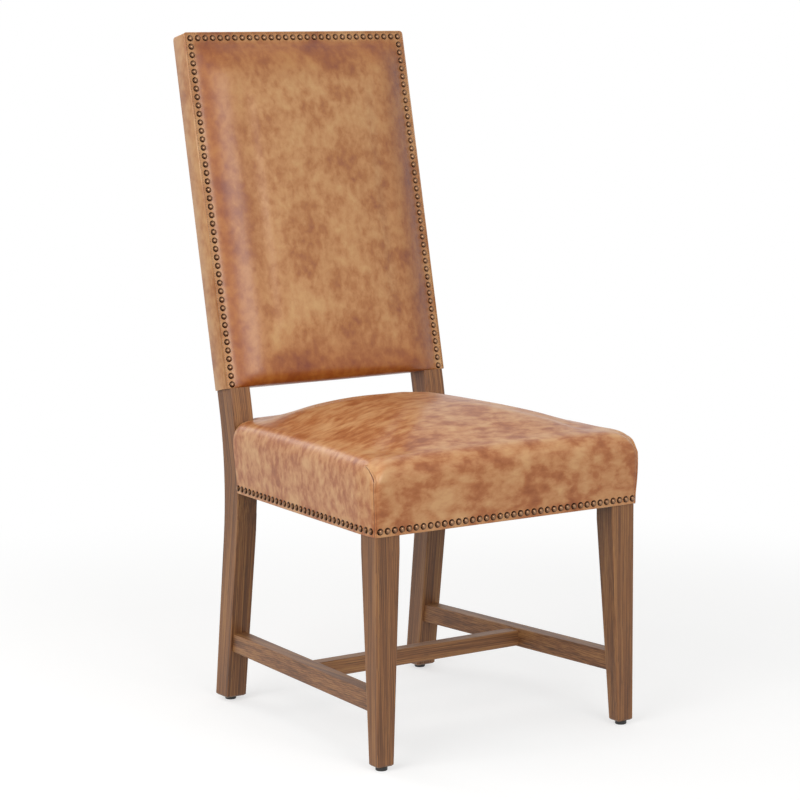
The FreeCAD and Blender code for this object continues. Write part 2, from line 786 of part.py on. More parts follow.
def make_seat_foam():
    """The foam cushion on the webbing, just inside the leather."""
    seat_level = value(f"{RAIL_TOP} + 2 * webbing_thickness")
    foam = seat_form(value("leather + leather_gap"), value("hem_height"))
    bounds = foam.BoundBox
    away = block(
        (bounds.XMin - OVERRUN, bounds.YMin - OVERRUN, bounds.ZMin - OVERRUN),
        (bounds.XMax + OVERRUN, bounds.YMax + OVERRUN, seat_level),
    )
    return coded("seat_foam", foam.cut([away] + post_cutter(value("post_cut_gap + leather_gap"))))


def band_box(name, low, high):
    """A flat strip whose corner and lengths follow the sheet."""
    strip = doc.addObject("Part::Box", name)
    for prop, near, far in zip(("Length", "Width", "Height"), low, high):
        strip.setExpression(prop, bound(f"({far}) - ({near})"))
    for axis, near in zip("xyz", low):
        strip.setExpression(f"Placement.Base.{axis}", bound(near))
    return strip


def band_group(label, strips, leaned=False):
    """Separate strips that are one kind of piece, kept as one group."""
    group = doc.addObject("Part::Compound", label)
    group.Links = strips
    stand(group, leaned)
    return group


def make_seat_webbing():
    """Two layers of bands over the rails: front to rear, then side to side."""
    lengthways, crossways = [], []
    first, second = RAIL_TOP, f"({RAIL_TOP} + webbing_thickness)"
    for index in range(SEAT_BANDS):
        place = f"({index - (SEAT_BANDS - 1) / 2} * webbing_pitch)"
        low = (f"{place} - webbing_width / 2", "rail_inset + webbing_margin", first)
        high = (f"{place} + webbing_width / 2", f"{SEAT_DEPTH} - webbing_margin", second)
        lengthways.append(band_box("band_lengthways", low, high))
        middle = f"((leg_depth + {POST_FACE_Y}) / 2 + {index - (SEAT_BANDS - 1) / 2} * webbing_pitch)"
        reach = side_x(f"{middle} + webbing_width / 2", "rail_inset + webbing_margin")
        low = (f"-{reach}", f"{middle} - webbing_width / 2", second)
        high = (reach, f"{middle} + webbing_width / 2", f"{second} + webbing_thickness")
        crossways.append(band_box("band_crossways", low, high))
    band_group("seat_webbing_lengthways", lengthways)
    band_group("seat_webbing_crossways", crossways)


def make_dust_cover():
    """A thin lining under the rails, cut round the four legs."""
    body = new_body("dust_cover")
    clear = "block_clearance"
    front_y, rear_y = f"leg_depth + {clear}", f"{POST_FACE_Y} - {clear}"
    half = [
        (f"{LEG_INNER} - {clear}", "lining_margin"),
        (f"{LEG_INNER} - {clear}", front_y),
        (side_x(front_y, "lining_margin"), front_y),
        (side_x(rear_y, "lining_margin"), rear_y),
        (f"{POST_INNER} - {clear}", rear_y),
        (f"{POST_INNER} - {clear}", f"{SEAT_DEPTH} - lining_margin"),
    ]
    pad(body, polygon(body, "XY_Plane", mirrored(half), "rail_underside - lining"), "lining")


# The back's upholstery, in the back's axes.

def back_outline(inset, radius, height):
    """The raised panel's rounded outline, drawn in by an inset, at one height off the border."""
    side = value("back_width / 2 - back_border") - inset
    top = value("back_length - back_border") - inset
    bottom_share = 0.45
    low = value("back_roll") + inset * bottom_share
    corners = [(-side, low), (side, low), (side, top), (-side, top)]
    radii = [min(radius, side / 2)] * len(corners)
    return rounded_wire(corners, radii, lambda x, z: FreeCAD.Vector(x, -height, z))


def back_form(inward, rear):
    """The raised panel's solid form, drawn in by a thickness, with its flat rear face at a depth."""
    edge_shares = (0, 0.25, 0.5, 0.8)
    crown_shares = (0.2, 0.45, 0.7, 1)
    reach, rise = value("back_edge_reach"), value("back_edge_rise")
    crown, far = value("back_crown"), value("back_crown_reach")
    tight, loose = value("back_corner_round"), value("back_top_round")
    wires = []
    for share in edge_shares:
        angle = share * math.pi / 2
        inset = reach * (1 - math.cos(angle)) + inward * math.cos(angle)
        wires.append(back_outline(inset, tight * (1 + share), (rise - inward) * math.sin(angle)))
    for share in crown_shares:
        inset = reach + share * (far - reach)
        height = rise - inward + (crown - rise) * (1 - (1 - share) ** 2)
        wires.append(back_outline(inset, 2 * tight + share * (loose - 2 * tight), height))
    base = Part.Face(back_outline(inward, tight, -rear))
    return base.extrude(FreeCAD.Vector(0, -rear, 0)).fuse(smooth_loft(wires))


def make_back_front(holes):
    """The front leather: a flat nailed border round a raised panel."""
    side, length, thick = value("back_width / 2"), value("back_length"), value("leather")
    plate = block((-side, 0, 0), (side, thick, length))
    shell = plate.fuse(back_form(0, thick / 2)).cut(back_form(thick, thick + OVERRUN))
    loose = coded("back_front_leather_blank", shell, True)
    return fitted("back_front_leather", loose, *holes.values())


def make_back_foam():
    """The foam between the webbing and the front leather."""
    rear = value("leather + leather_gap - webbing_thickness")
    return coded("back_foam", back_form(value("leather + leather_gap"), rear), True)


def make_back_bands():
    """Leather round the back's edges, its outside panel and the webbing."""
    half, high = "back_width / 2", "back_length"
    inner = f"{half} - band_thickness"
    for name, sign in SIDES:
        near, far = (inner, half) if sign > 0 else (f"-{half}", f"-({inner})")
        strip = band_box(f"strip_{name}", (near, "leather", "0"), (far, "back_depth", high))
        band_group(f"back_side_band_{name}", [strip], True)
    strip = band_box("strip_top", (f"-({inner})", "leather", f"{high} - band_thickness"), (inner, "back_depth", high))
    band_group("back_top_band", [strip], True)
    gap = f"({POST_INNER} - leather_gap)"
    strip = band_box("strip_bottom", (f"-{gap}", "leather", "0"), (gap, "back_depth - leather", "band_thickness"))
    band_group("back_bottom_band", [strip], True)
    strip = band_box(
        "strip_outside", (f"-({inner})", "back_depth - leather", "0"),
        (inner, "back_depth", f"{high} - band_thickness"),
    )
    band_group("back_outside_leather", [strip], True)
    bands = []
    face = "(leather + leather_gap)"
    reach = "(back_width / 2 - back_border - leather - webbing_margin)"
    pitch = f"((back_length - 2 * back_border - webbing_width - 2 * webbing_margin) / {BACK_BANDS - 1})"
    for index in range(BACK_BANDS):
        level = f"(back_border + webbing_margin + {index} * {pitch})"
        low = (f"-{reach}", f"{face} - webbing_thickness", level)
        bands.append(band_box("band_back", low, (reach, face, f"{level} + webbing_width")))
    band_group("back_webbing", bands, True)


def make_chair():
    """Every part, from what is driven in to what it is driven into."""
    seat_holes = make_seat_nails()
    back_holes = make_back_nails()
    pins = make_glides()
    screws = make_screws()
    make_blocks(screws)
    stretchers = make_stretchers()
    rails = make_seat_rails()
    back_rails = make_back_rails()
    fitted("seat_rail_front", rails["front"], seat_holes["front"])
    rails["rear"].Label = "seat_rail_rear"
    for name, sign in SIDES:
        side_rail = fitted(f"seat_rail_{name}", rails[name], seat_holes[name], screws)
        side = fitted(f"side_stretcher_{name}", stretchers[name], stretchers["cross"])
        front = make_front_leg(name, sign)
        fitted(
            f"front_leg_{name}", front, rails["front"], side_rail, side, pins, screws,
            seat_holes["front"], seat_holes[name],
        )
        rear = make_rear_leg(name, sign)
        fitted(
            f"rear_leg_{name}", rear, rails["rear"], side_rail, side, pins, screws,
            *back_rails, back_holes[name], back_holes["top"], seat_holes[name],
        )
    back_rails[0].Label = "back_bottom_rail"
    fitted("back_top_rail", back_rails[1], back_holes["top"])
    make_seat_webbing()
    make_dust_cover()
    make_seat_foam()
    make_seat_cover(seat_holes)
    make_back_foam()
    make_back_bands()
    make_back_front(back_holes)


PARTS = (
    ["seat_leather", "seat_foam", "seat_webbing_lengthways", "seat_webbing_crossways", "dust_cover"]
    + ["back_front_leather", "back_foam", "back_webbing", "back_outside_leather"]
    + ["back_top_band", "back_bottom_band", "back_top_rail", "back_bottom_rail", "cross_stretcher"]
    + ["seat_rail_front", "seat_rail_rear", "seat_nails_front", "back_nails_top"]
    + ["corner_block_screws", "glide_pins"]
    + [
        f"{stem}_{name}"
        for name, _ in SIDES
        for stem in (
            "front_leg", "rear_leg", "seat_rail", "side_stretcher", "back_side_band",
            "seat_nails", "back_nails", "corner_block_front", "corner_block_rear",
            "glide_front", "glide_rear",
        )
    ]
)


def write_parts():
    """Check every object and write each part to its own file."""
    doc.recompute()
    for item in doc.Objects:
        if "Invalid" in item.State or "Error" in item.State:
            raise RuntimeError(f"{item.Label} did not compute: {item.State}")
    os.makedirs("parts", exist_ok=True)
    for label in PARTS:
        part = doc.getObjectsByLabel(label)[0]
        shape = part.Shape
        if shape.isNull() or not shape.isValid() or not shape.Solids:
            raise RuntimeError(f"{label} has no valid solid")
        shape.exportStep(f"parts/{label}.step")
        print(f"{label}: {len(shape.Solids)} solids, {shape.Volume / 1000:.1f} cm3")


make_chair()
write_parts()
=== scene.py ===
"""Looks for a leather dining chair: covers, nails, seams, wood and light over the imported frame."""
import logging
import math
from dataclasses import dataclass
from enum import Enum
from typing import Iterable, Optional

import bmesh
import bpy
from bmesh.types import BMEdge, BMesh, BMVert
from bpy.types import Material, Mesh, Node, NodeSocket, NodeTree, Object
from mathutils import Matrix, Vector, noise


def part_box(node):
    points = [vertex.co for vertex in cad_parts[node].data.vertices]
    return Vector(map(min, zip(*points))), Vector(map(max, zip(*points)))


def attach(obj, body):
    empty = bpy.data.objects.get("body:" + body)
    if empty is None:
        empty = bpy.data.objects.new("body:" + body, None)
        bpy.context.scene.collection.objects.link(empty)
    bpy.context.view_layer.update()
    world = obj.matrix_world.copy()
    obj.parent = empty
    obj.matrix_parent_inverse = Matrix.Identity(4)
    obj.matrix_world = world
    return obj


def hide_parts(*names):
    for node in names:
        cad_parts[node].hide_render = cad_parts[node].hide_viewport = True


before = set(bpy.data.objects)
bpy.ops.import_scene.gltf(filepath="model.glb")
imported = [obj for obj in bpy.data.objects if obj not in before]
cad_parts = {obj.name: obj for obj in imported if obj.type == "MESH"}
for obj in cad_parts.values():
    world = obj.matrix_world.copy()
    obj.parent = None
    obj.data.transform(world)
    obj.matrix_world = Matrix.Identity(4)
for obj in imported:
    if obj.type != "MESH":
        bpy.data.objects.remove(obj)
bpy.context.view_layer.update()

log = logging.getLogger("chair")

MM = 0.001
# Where the frame bends: the back's lean, the rear legs' splay and the knee between them.
BACK_RAKE = math.radians(11.85)
LEG_SPLAY = math.radians(8.12)
KNEE_HEIGHT = 0.405
# The covers' thickness, the height of the nailed hem, and the heads of the frame's own nails.
LEATHER = 2.5 * MM
HEM_WIDTH = 19 * MM
FRAME_NAIL_RADIUS = 4.8 * MM
FRAME_NAIL_DOME = 3.0 * MM
# Vertices nearer to each other than this are merged.
TOUCHING = 0.01 * MM
# A Mix node's sockets share their names, so they go by number.
FACTOR, FLOAT_A, FLOAT_B, COLOUR_A, COLOUR_B = 0, 2, 3, 6, 7
FLOAT_RESULT, COLOUR_RESULT = 0, 2


class Grain(Enum):
    """The axis that a wooden piece's grain follows."""

    ACROSS = "x"
    DEEP = "y"
    UPRIGHT = "z"


def linear(code: str) -> tuple[float, float, float, float]:
    """Turns an sRGB hex colour into the linear colour that a shader takes.

    Args:
        code: Colour as "#RRGGBB".

    Returns:
        Linear red, green and blue, and an alpha of 1.
    """
    channels = [int(code[at:at + 2], 16) / 255 for at in (1, 3, 5)]
    toe, low_slope, offset, power = 0.04045, 12.92, 0.055, 2.4
    made = [c / low_slope if c <= toe else ((c + offset) / (1 + offset)) ** power for c in channels]
    return (made[0], made[1], made[2], 1.0)


def add_node(
    tree: NodeTree, kind: str, settings: Optional[dict] = None, inputs: Optional[dict] = None,
) -> Node:
    """Adds a node with its settings, and sets or links its inputs.

    Args:
        tree: Node tree that gets the node.
        kind: Node type name, without its "ShaderNode".
        settings: Property values of the node.
        inputs: The value of an input, or the socket that it is linked from, by name or number.

    Returns:
        The new node.
    """
    node = tree.nodes.new("ShaderNode" + kind)
    for name, setting in (settings or {}).items():
        setattr(node, name, setting)
    for name, given in (inputs or {}).items():
        if isinstance(given, NodeSocket):
            tree.links.new(given, node.inputs[name])
        else:
            node.inputs[name].default_value = given
    return node


def set_stops(ramp: Node, stops: list[tuple[float, str]]) -> None:
    """Gives a colour ramp its stops.

    Args:
        ramp: The ramp node.
        stops: Place and sRGB colour of each stop, in order.
    """
    elements = ramp.color_ramp.elements
    while len(elements) < len(stops):
        elements.new(1.0)
    for element, (place, code) in zip(elements, stops):
        element.position = place
        element.color = linear(code)


def start_material(name: str, constants: dict) -> tuple[Material, NodeTree, Node, NodeSocket]:
    """Starts a material with its shader and its object coordinates.

    Args:
        name: The material's name.
        constants: Values of the shader's sockets that are the same all over the surface.

    Returns:
        The material, its tree, the shader node and the object coordinates.
    """
    material = bpy.data.materials.new(name)
    material.use_nodes = True
    tree = material.node_tree
    tree.nodes.clear()
    shader = add_node(tree, "BsdfPrincipled", inputs=constants)
    add_node(tree, "OutputMaterial", inputs={"Surface": shader.outputs["BSDF"]})
    place = add_node(tree, "TexCoord").outputs["Object"]
    return material, tree, shader, place


def per_mm(size: float) -> float:
    """Noise scale at which one feature is about size millimetres broad."""
    return 1 / (size * MM)


@dataclass(frozen=True)
class AnilineLeather:
    """Waxed pull-up cowhide: rust flecks and soft clouds over golden tan, smooth, with a waxy shine.

    Its sizes are in millimetres: the clouds and flecks of the dye, the pores and the creases.
    """

    name: str
    rust: str
    brown: str
    tan: str
    pale: str
    flow: tuple[float, float, float]
    fleck: float
    fleck_share: float
    softness: float
    wax: float
    # This stain and the edge shift darken the leather by the "edge" attribute: partly real colour, partly
    # painted shade in the crease by the border.
    stain: str = "#DCB878"
    cloud: float = 70.0
    stain_and_shade_shift: float = 0.06
    pore: float = 1.3
    crease: float = 7.0
    roughness: float = 0.4
    wax_roughness: float = 0.25

    def make(self) -> Material:
        """Builds the material.

        Returns:
            The leather, darker and more rust where the piece's own "edge" attribute is high: partly the
            hide's own colour, partly painted shade in the crease where the padding rises from its border.
        """
        material, tree, shader, place = start_material(self.name, {
            "Roughness": self.roughness, "Coat Weight": self.wax, "Coat Roughness": self.wax_roughness,
        })
        # Flecks are drawn out along the way the hide was stretched.
        drawn = add_node(tree, "Mapping", inputs={"Vector": place, "Scale": self.flow})
        cloud = add_node(tree, "TexNoise", inputs={
            "Vector": place, "Scale": per_mm(self.cloud), "Detail": 2.0, "Roughness": 0.5, "Distortion": 0.4,
        })
        fleck = add_node(tree, "TexNoise", inputs={
            "Vector": drawn.outputs["Vector"], "Scale": per_mm(self.fleck),
            "Detail": 5.0, "Roughness": 0.55, "Distortion": 0.2,
        })
        mottle = add_node(tree, "Mix", {"data_type": "FLOAT"}, {
            FACTOR: self.fleck_share, FLOAT_A: cloud.outputs["Fac"], FLOAT_B: fleck.outputs["Fac"],
        })
        # The "edge" attribute shifts towards rust and multiplies by the stain: partly the hide's own colour,
        # partly painted shade in the crease beside the nailed border.
        edge = add_node(tree, "Attribute", {"attribute_name": "edge"}).outputs["Fac"]
        shade = add_node(tree, "Math", {"operation": "MULTIPLY_ADD"}, {
            0: edge, 1: self.stain_and_shade_shift, 2: mottle.outputs[FLOAT_RESULT],
        })
        colour = add_node(tree, "ValToRGB", inputs={"Fac": shade.outputs[0]})
        middle, step = 0.51, 0.045 * self.softness
        set_stops(colour, [
            (middle - 3.0 * step, self.pale), (middle - 0.6 * step, self.tan),
            (middle + step, self.brown), (middle + 3 * step, self.rust),
        ])
        stained_and_shaded = add_node(tree, "Mix", {"data_type": "RGBA", "blend_type": "MULTIPLY"}, {
            FACTOR: edge, COLOUR_A: colour.outputs["Color"], COLOUR_B: linear(self.stain),
        })
        tree.links.new(stained_and_shaded.outputs[COLOUR_RESULT], shader.inputs["Base Color"])
        # Pores a little over a millimetre apart, with softer creases several times as broad.
        pore = add_node(tree, "TexVoronoi", inputs={"Vector": place, "Scale": per_mm(self.pore)})
        crease = add_node(tree, "TexNoise", inputs={
            "Vector": place, "Scale": per_mm(self.crease), "Detail": 1.0,
        })
        soft = add_node(tree, "Bump", inputs={
            "Height": crease.outputs["Fac"], "Strength": 0.2, "Distance": 0.5 * MM,
        })
        fine = add_node(tree, "Bump", inputs={
            "Height": pore.outputs["Distance"], "Normal": soft.outputs["Normal"],
            "Strength": 0.15, "Distance": 0.2 * MM,
        })
        tree.links.new(fine.outputs["Normal"], shader.inputs["Normal"])
        return material


@dataclass(frozen=True)
class StainedWood:
    """Brown-stained ring-porous hardwood, planed and waxed satin: straight open grain along the piece.

    Its patterns' sizes are across and along the grain, in millimetres.
    """

    name: str
    grain: Grain
    dark: str = "#57361D"
    mid: str = "#7E512F"
    pale: str = "#9D6F43"
    pore_shade: str = "#3B271A"
    streak: tuple[float, float] = (2.2, 210.0)
    band: tuple[float, float] = (14.0, 420.0)
    pore: tuple[float, float] = (0.9, 26.0)
    ring: tuple[float, float] = (3.4, 130.0)
    band_share: float = 0.42
    ring_depth: float = 0.13
    satin: float = 0.48
    bent: bool = False

    def stretched(self, tree: NodeTree, source: NodeSocket, size: tuple[float, float]) -> NodeSocket:
        """Scales the coordinates for a pattern that is long on the grain and narrow across it.

        Args:
            tree: The material's tree.
            source: The coordinates.
            size: The pattern's size across and along the grain, in millimetres.

        Returns:
            The scaled coordinates.
        """
        across, along = size
        scale = [per_mm(along if axis == self.grain.value else across) for axis in "xyz"]
        return add_node(tree, "Mapping", inputs={"Vector": source, "Scale": scale}).outputs["Vector"]

    def straightened(self, tree: NodeTree, place: NodeSocket) -> NodeSocket:
        """Shears the coordinates so that the grain follows a leg bent at the knee.

        Args:
            tree: The material's tree.
            place: The object coordinates.

        Returns:
            The coordinates to read patterns by.
        """
        parts = add_node(tree, "SeparateXYZ", inputs={"Vector": place}).outputs
        rise = add_node(tree, "Math", {"operation": "SUBTRACT"}, {0: parts["Z"], 1: KNEE_HEIGHT}).outputs[0]
        depth = parts["Y"]
        for kept, angle in (("MINIMUM", LEG_SPLAY), ("MAXIMUM", -BACK_RAKE)):
            reach = add_node(tree, "Math", {"operation": kept}, {0: rise, 1: 0.0}).outputs[0]
            depth = add_node(tree, "Math", {"operation": "MULTIPLY_ADD"}, {
                0: reach, 1: math.tan(angle), 2: depth,
            }).outputs[0]
        joined = add_node(tree, "CombineXYZ", inputs={"X": parts["X"], "Y": depth, "Z": parts["Z"]})
        return joined.outputs["Vector"]

    def make(self) -> Material:
        """Builds the material.

        Returns:
            The wood material.
        """
        material, tree, shader, place = start_material(self.name, {"Roughness": self.satin})
        source = self.straightened(tree, place) if self.bent else place
        streak, band, pore = [
            add_node(tree, "TexNoise", inputs={
                "Vector": self.stretched(tree, source, size),
                "Scale": 1.0, "Detail": detail, "Roughness": 0.6,
            }).outputs["Fac"]
            for size, detail in ((self.streak, 3.0), (self.band, 2.0), (self.pore, 1.0))
        ]
        # A diagonal wave repeats every pi fifths of its unit, so this scale makes it once in each.
        rings = add_node(tree, "TexWave", {"bands_direction": "DIAGONAL", "wave_profile": "SAW"}, {
            "Vector": self.stretched(tree, source, self.ring), "Scale": math.pi / 5, "Distortion": 5.0,
            "Detail": 2.0, "Detail Scale": 0.5, "Detail Roughness": 0.5,
        })
        mottle = add_node(tree, "Mix", {"data_type": "FLOAT"}, {
            FACTOR: self.band_share, FLOAT_A: streak, FLOAT_B: band,
        })
        tone = add_node(tree, "Math", {"operation": "MULTIPLY_ADD"}, {
            0: rings.outputs["Fac"], 1: self.ring_depth, 2: mottle.outputs[FLOAT_RESULT],
        })
        colour = add_node(tree, "ValToRGB", inputs={"Fac": tone.outputs[0]})
        set_stops(colour, [(0.43, self.dark), (0.56, self.mid), (0.68, self.pale)])
        opening = add_node(tree, "MapRange", inputs={
            "Value": pore, "From Min": 0.60, "From Max": 0.70, "To Min": 0.0, "To Max": 0.5,
        }).outputs["Result"]
        pored = add_node(tree, "Mix", {"data_type": "RGBA"}, {
            FACTOR: opening, COLOUR_A: colour.outputs["Color"], COLOUR_B: linear(self.pore_shade),
        })
        tree.links.new(pored.outputs[COLOUR_RESULT], shader.inputs["Base Color"])
        streaky = add_node(tree, "Bump", inputs={"Height": streak, "Strength": 0.25, "Distance": 0.25 * MM})
        pitted = add_node(tree, "Bump", {"invert": True}, {
            "Height": opening, "Normal": streaky.outputs["Normal"], "Strength": 0.6, "Distance": 0.2 * MM,
        })
        tree.links.new(pitted.outputs["Normal"], shader.inputs["Normal"])
        return material


@dataclass(frozen=True)
class AntiquedBrass:
    """Stamped brass, darkened in a bath and rubbed back: a black-brown rim, partly patina and partly painted
    shade, under a brighter crown.
    """

    name: str = "antiqued_brass_and_rim_shade"
    rim: str = "#20140D"
    slope: str = "#644633"
    crown: str = "#A07C5E"
    stain: float = 2.6
    satin: float = 0.3

    def make(self) -> Material:
        """Builds the material.

        Returns:
            The brass material, coloured by the piece's own "crown" attribute.
        """
        material, tree, shader, place = start_material(self.name, {"Metallic": 1.0, "Roughness": self.satin})
        height = add_node(tree, "Attribute", {"attribute_name": "crown"})
        stain = add_node(tree, "TexNoise", inputs={
            "Vector": place, "Scale": per_mm(self.stain), "Detail": 3.0,
        })
        # The bath's stain shifts the colour by up to a quarter either way.
        shift = add_node(tree, "Math", {"operation": "MULTIPLY_ADD"}, {
            0: stain.outputs["Fac"], 1: 0.5, 2: -0.25,
        })
        rubbed = add_node(tree, "Math", {"operation": "ADD"}, {0: height.outputs["Fac"], 1: shift.outputs[0]})
        colour = add_node(tree, "ValToRGB", inputs={"Fac": rubbed.outputs[0]})
        # The dark rim is partly the bath's patina and partly painted shade: it stands for the dark reflection
        # and contact shadow at each head's edge.
        set_stops(colour, [(0.3, self.rim), (0.66, self.slope), (1.0, self.crown)])
        tree.links.new(colour.outputs["Color"], shader.inputs["Base Color"])
        return material


@dataclass(frozen=True)
class PlainFinish:
    """One base colour broken up by a fine surface grain, for small and hidden parts."""

    name: str
    colour: str
    deep: str
    grain: float
    roughness: float
    metallic: float = 0.0
    relief: float = 0.1

    def make(self) -> Material:
        """Builds the material.

        Returns:
            The finished material.
        """
        material, tree, shader, place = start_material(self.name, {
            "Roughness": self.roughness, "Metallic": self.metallic,
        })
        speck = add_node(tree, "TexNoise", inputs={
            "Vector": place, "Scale": per_mm(self.grain), "Detail": 3.0,
        }).outputs["Fac"]
        colour = add_node(tree, "ValToRGB", inputs={"Fac": speck})
        set_stops(colour, [(0.3, self.deep), (0.7, self.colour)])
        bump = add_node(tree, "Bump", inputs={"Height": speck, "Strength": 0.5, "Distance": self.relief * MM})
        tree.links.new(colour.outputs["Color"], shader.inputs["Base Color"])
        tree.links.new(bump.outputs["Normal"], shader.inputs["Normal"])
        return material


@dataclass(frozen=True)
class WovenBand:
    """Elastic webbing woven from polypropylene and rubber thread: a plain weave with visible ribs."""

    name: str = "woven_elastic_webbing"
    hollow_shade: str = "#5B5245"
    rib: str = "#8E826C"
    thread: float = 2.2
    dull: float = 0.85

    def make(self) -> Material:
        """Builds the material.

        Returns:
            The webbing material.
        """
        material, tree, shader, place = start_material(self.name, {"Roughness": self.dull})
        ribs = [
            add_node(tree, "TexWave", {"bands_direction": axis}, {
                "Vector": place, "Scale": per_mm(self.thread) / (2 * math.pi), "Distortion": 0.4,
            }).outputs["Fac"]
            for axis in ("X", "Y")
        ]
        weave = add_node(tree, "Math", {"operation": "MULTIPLY"}, {0: ribs[0], 1: ribs[1]}).outputs[0]
        # Darker where the weave dips: painted shade in its hollows.
        colour = add_node(tree, "ValToRGB", inputs={"Fac": weave})
        set_stops(colour, [(0.1, self.hollow_shade), (0.8, self.rib)])
        bump = add_node(tree, "Bump", inputs={"Height": weave, "Strength": 0.6, "Distance": 0.4 * MM})
        tree.links.new(colour.outputs["Color"], shader.inputs["Base Color"])
        tree.links.new(bump.outputs["Normal"], shader.inputs["Normal"])
        return material


@dataclass(frozen=True)
class Finishes:
    """Every material of the chair, made once."""

    seat_leather: Material
    back_leather: Material
    upright_wood: Material
    bent_wood: Material
    deep_wood: Material
    across_wood: Material
    raw_wood: Material
    brass: Material
    steel: Material
    plastic: Material
    webbing: Material
    lining: Material
    thread: Material
    crease_shade: Material

    @staticmethod
    def make() -> "Finishes":
        """Builds all the materials.

        Returns:
            The set of finishes.
        """
        return Finishes(
            # The seat's hide has stronger flecks than the back's, and less wax left on it.
            seat_leather=AnilineLeather(
                "aniline_leather_seat", rust="#944F20", brown="#AB6737", tan="#C08453", pale="#D09D6B",
                flow=(0.6, 1.3, 0.95), fleck=17, fleck_share=0.57, softness=1.08, wax=0.12,
            ).make(),
            back_leather=AnilineLeather(
                "aniline_leather_back", rust="#92502B", brown="#AE703A", tan="#C28A55", pale="#D0A16A",
                flow=(1.1, 1.0, 0.85), fleck=15, fleck_share=0.5, softness=1.5, wax=0.3,
            ).make(),
            upright_wood=StainedWood("stained_wood_upright", Grain.UPRIGHT).make(),
            bent_wood=StainedWood("stained_wood_bent", Grain.UPRIGHT, bent=True).make(),
            deep_wood=StainedWood("stained_wood_deep", Grain.DEEP).make(),
            across_wood=StainedWood("stained_wood_across", Grain.ACROSS).make(),
            # Beech without stain, inside the seat and back: pale and dry.
            raw_wood=StainedWood(
                "raw_beech", Grain.ACROSS, dark="#A57C55", mid="#C19A70", pale="#D2B088",
            ).make(),
            brass=AntiquedBrass().make(),
            # Zinc plate on turned steel: a cool grey with a faint spangle.
            steel=PlainFinish(
                "zinc_plated_steel", "#C4C2BC", "#9C9A94",
                grain=1.5, roughness=0.35, metallic=1.0, relief=0.05,
            ).make(),
            # Moulded nylon: near black, with a fine matt skin.
            plastic=PlainFinish("moulded_nylon", "#232120", "#191817", grain=0.6, roughness=0.5).make(),
            webbing=WovenBand().make(),
            # Bonded cloth: black and fibrous, with no shine.
            lining=PlainFinish(
                "bonded_black_lining", "#2B2927", "#1A1918", grain=0.8, roughness=0.95, relief=0.2,
            ).make(),
            # Waxed thread: a shade deeper than the hide.
            thread=PlainFinish("waxed_thread", "#9A683F", "#6B4526", grain=0.6, roughness=0.6).make(),
            # Painted shade of the crease beside each seat corner's fold: a dark brown line with a soft shine.
            crease_shade=PlainFinish("painted_crease_shade", "#7A4A2A", "#5C371E", grain=0.8, roughness=0.7).make(),
        )


def settle(name: str, mesh: BMesh, material: Material) -> Object:
    """Turns a bmesh into a smooth-shaded object on the chair's body.

    Args:
        name: The piece's name.
        mesh: Its shape, in the frame's metres; it is freed here.
        material: Its material.

    Returns:
        The new object.
    """
    data = bpy.data.meshes.new(name)
    for face in mesh.faces:
        face.smooth = True
    mesh.to_mesh(data)
    mesh.free()
    data.materials.append(material)
    made = bpy.data.objects.new(name, data)
    bpy.context.scene.collection.objects.link(made)
    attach(made, "root")
    return made


def scatter(name: str, template: Mesh, places: Iterable[Matrix], material: Material) -> Object:
    """Copies a small mesh to many places as one object.

    Args:
        name: The piece's name.
        template: The mesh to copy.
        places: The place of each copy.
        material: Their material.

    Returns:
        The new object.
    """
    mesh = bmesh.new()
    for place in places:
        copy = template.copy()
        copy.transform(place)
        mesh.from_mesh(copy)
        bpy.data.meshes.remove(copy)
    return settle(name, mesh, material)


def sharpen(made: Object, limit: float) -> None:
    """Marks the edges sharp whose faces meet at more than a limit.

    Args:
        made: The object.
        limit: Angle in radians.
    """
    mesh = bmesh.new()
    mesh.from_mesh(made.data)
    for edge in mesh.edges:
        edge.smooth = edge.calc_face_angle(0.0) < limit
    mesh.to_mesh(made.data)
    mesh.free()


def apply_modifiers(made: Object) -> None:
    """Gives an object the mesh that its modifiers make, and removes them.

    Args:
        made: The object.
    """
    graph = bpy.context.evaluated_depsgraph_get()
    finished = bpy.data.meshes.new_from_object(made.evaluated_get(graph))
    made.modifiers.clear()
    made.data = finished


def subdivide(made: Object) -> None:
    """Adds a subdivision surface with the same level in view and render."""
    surface = made.modifiers.new("Subdivision", "SUBSURF")
    surface.levels = surface.render_levels = 1


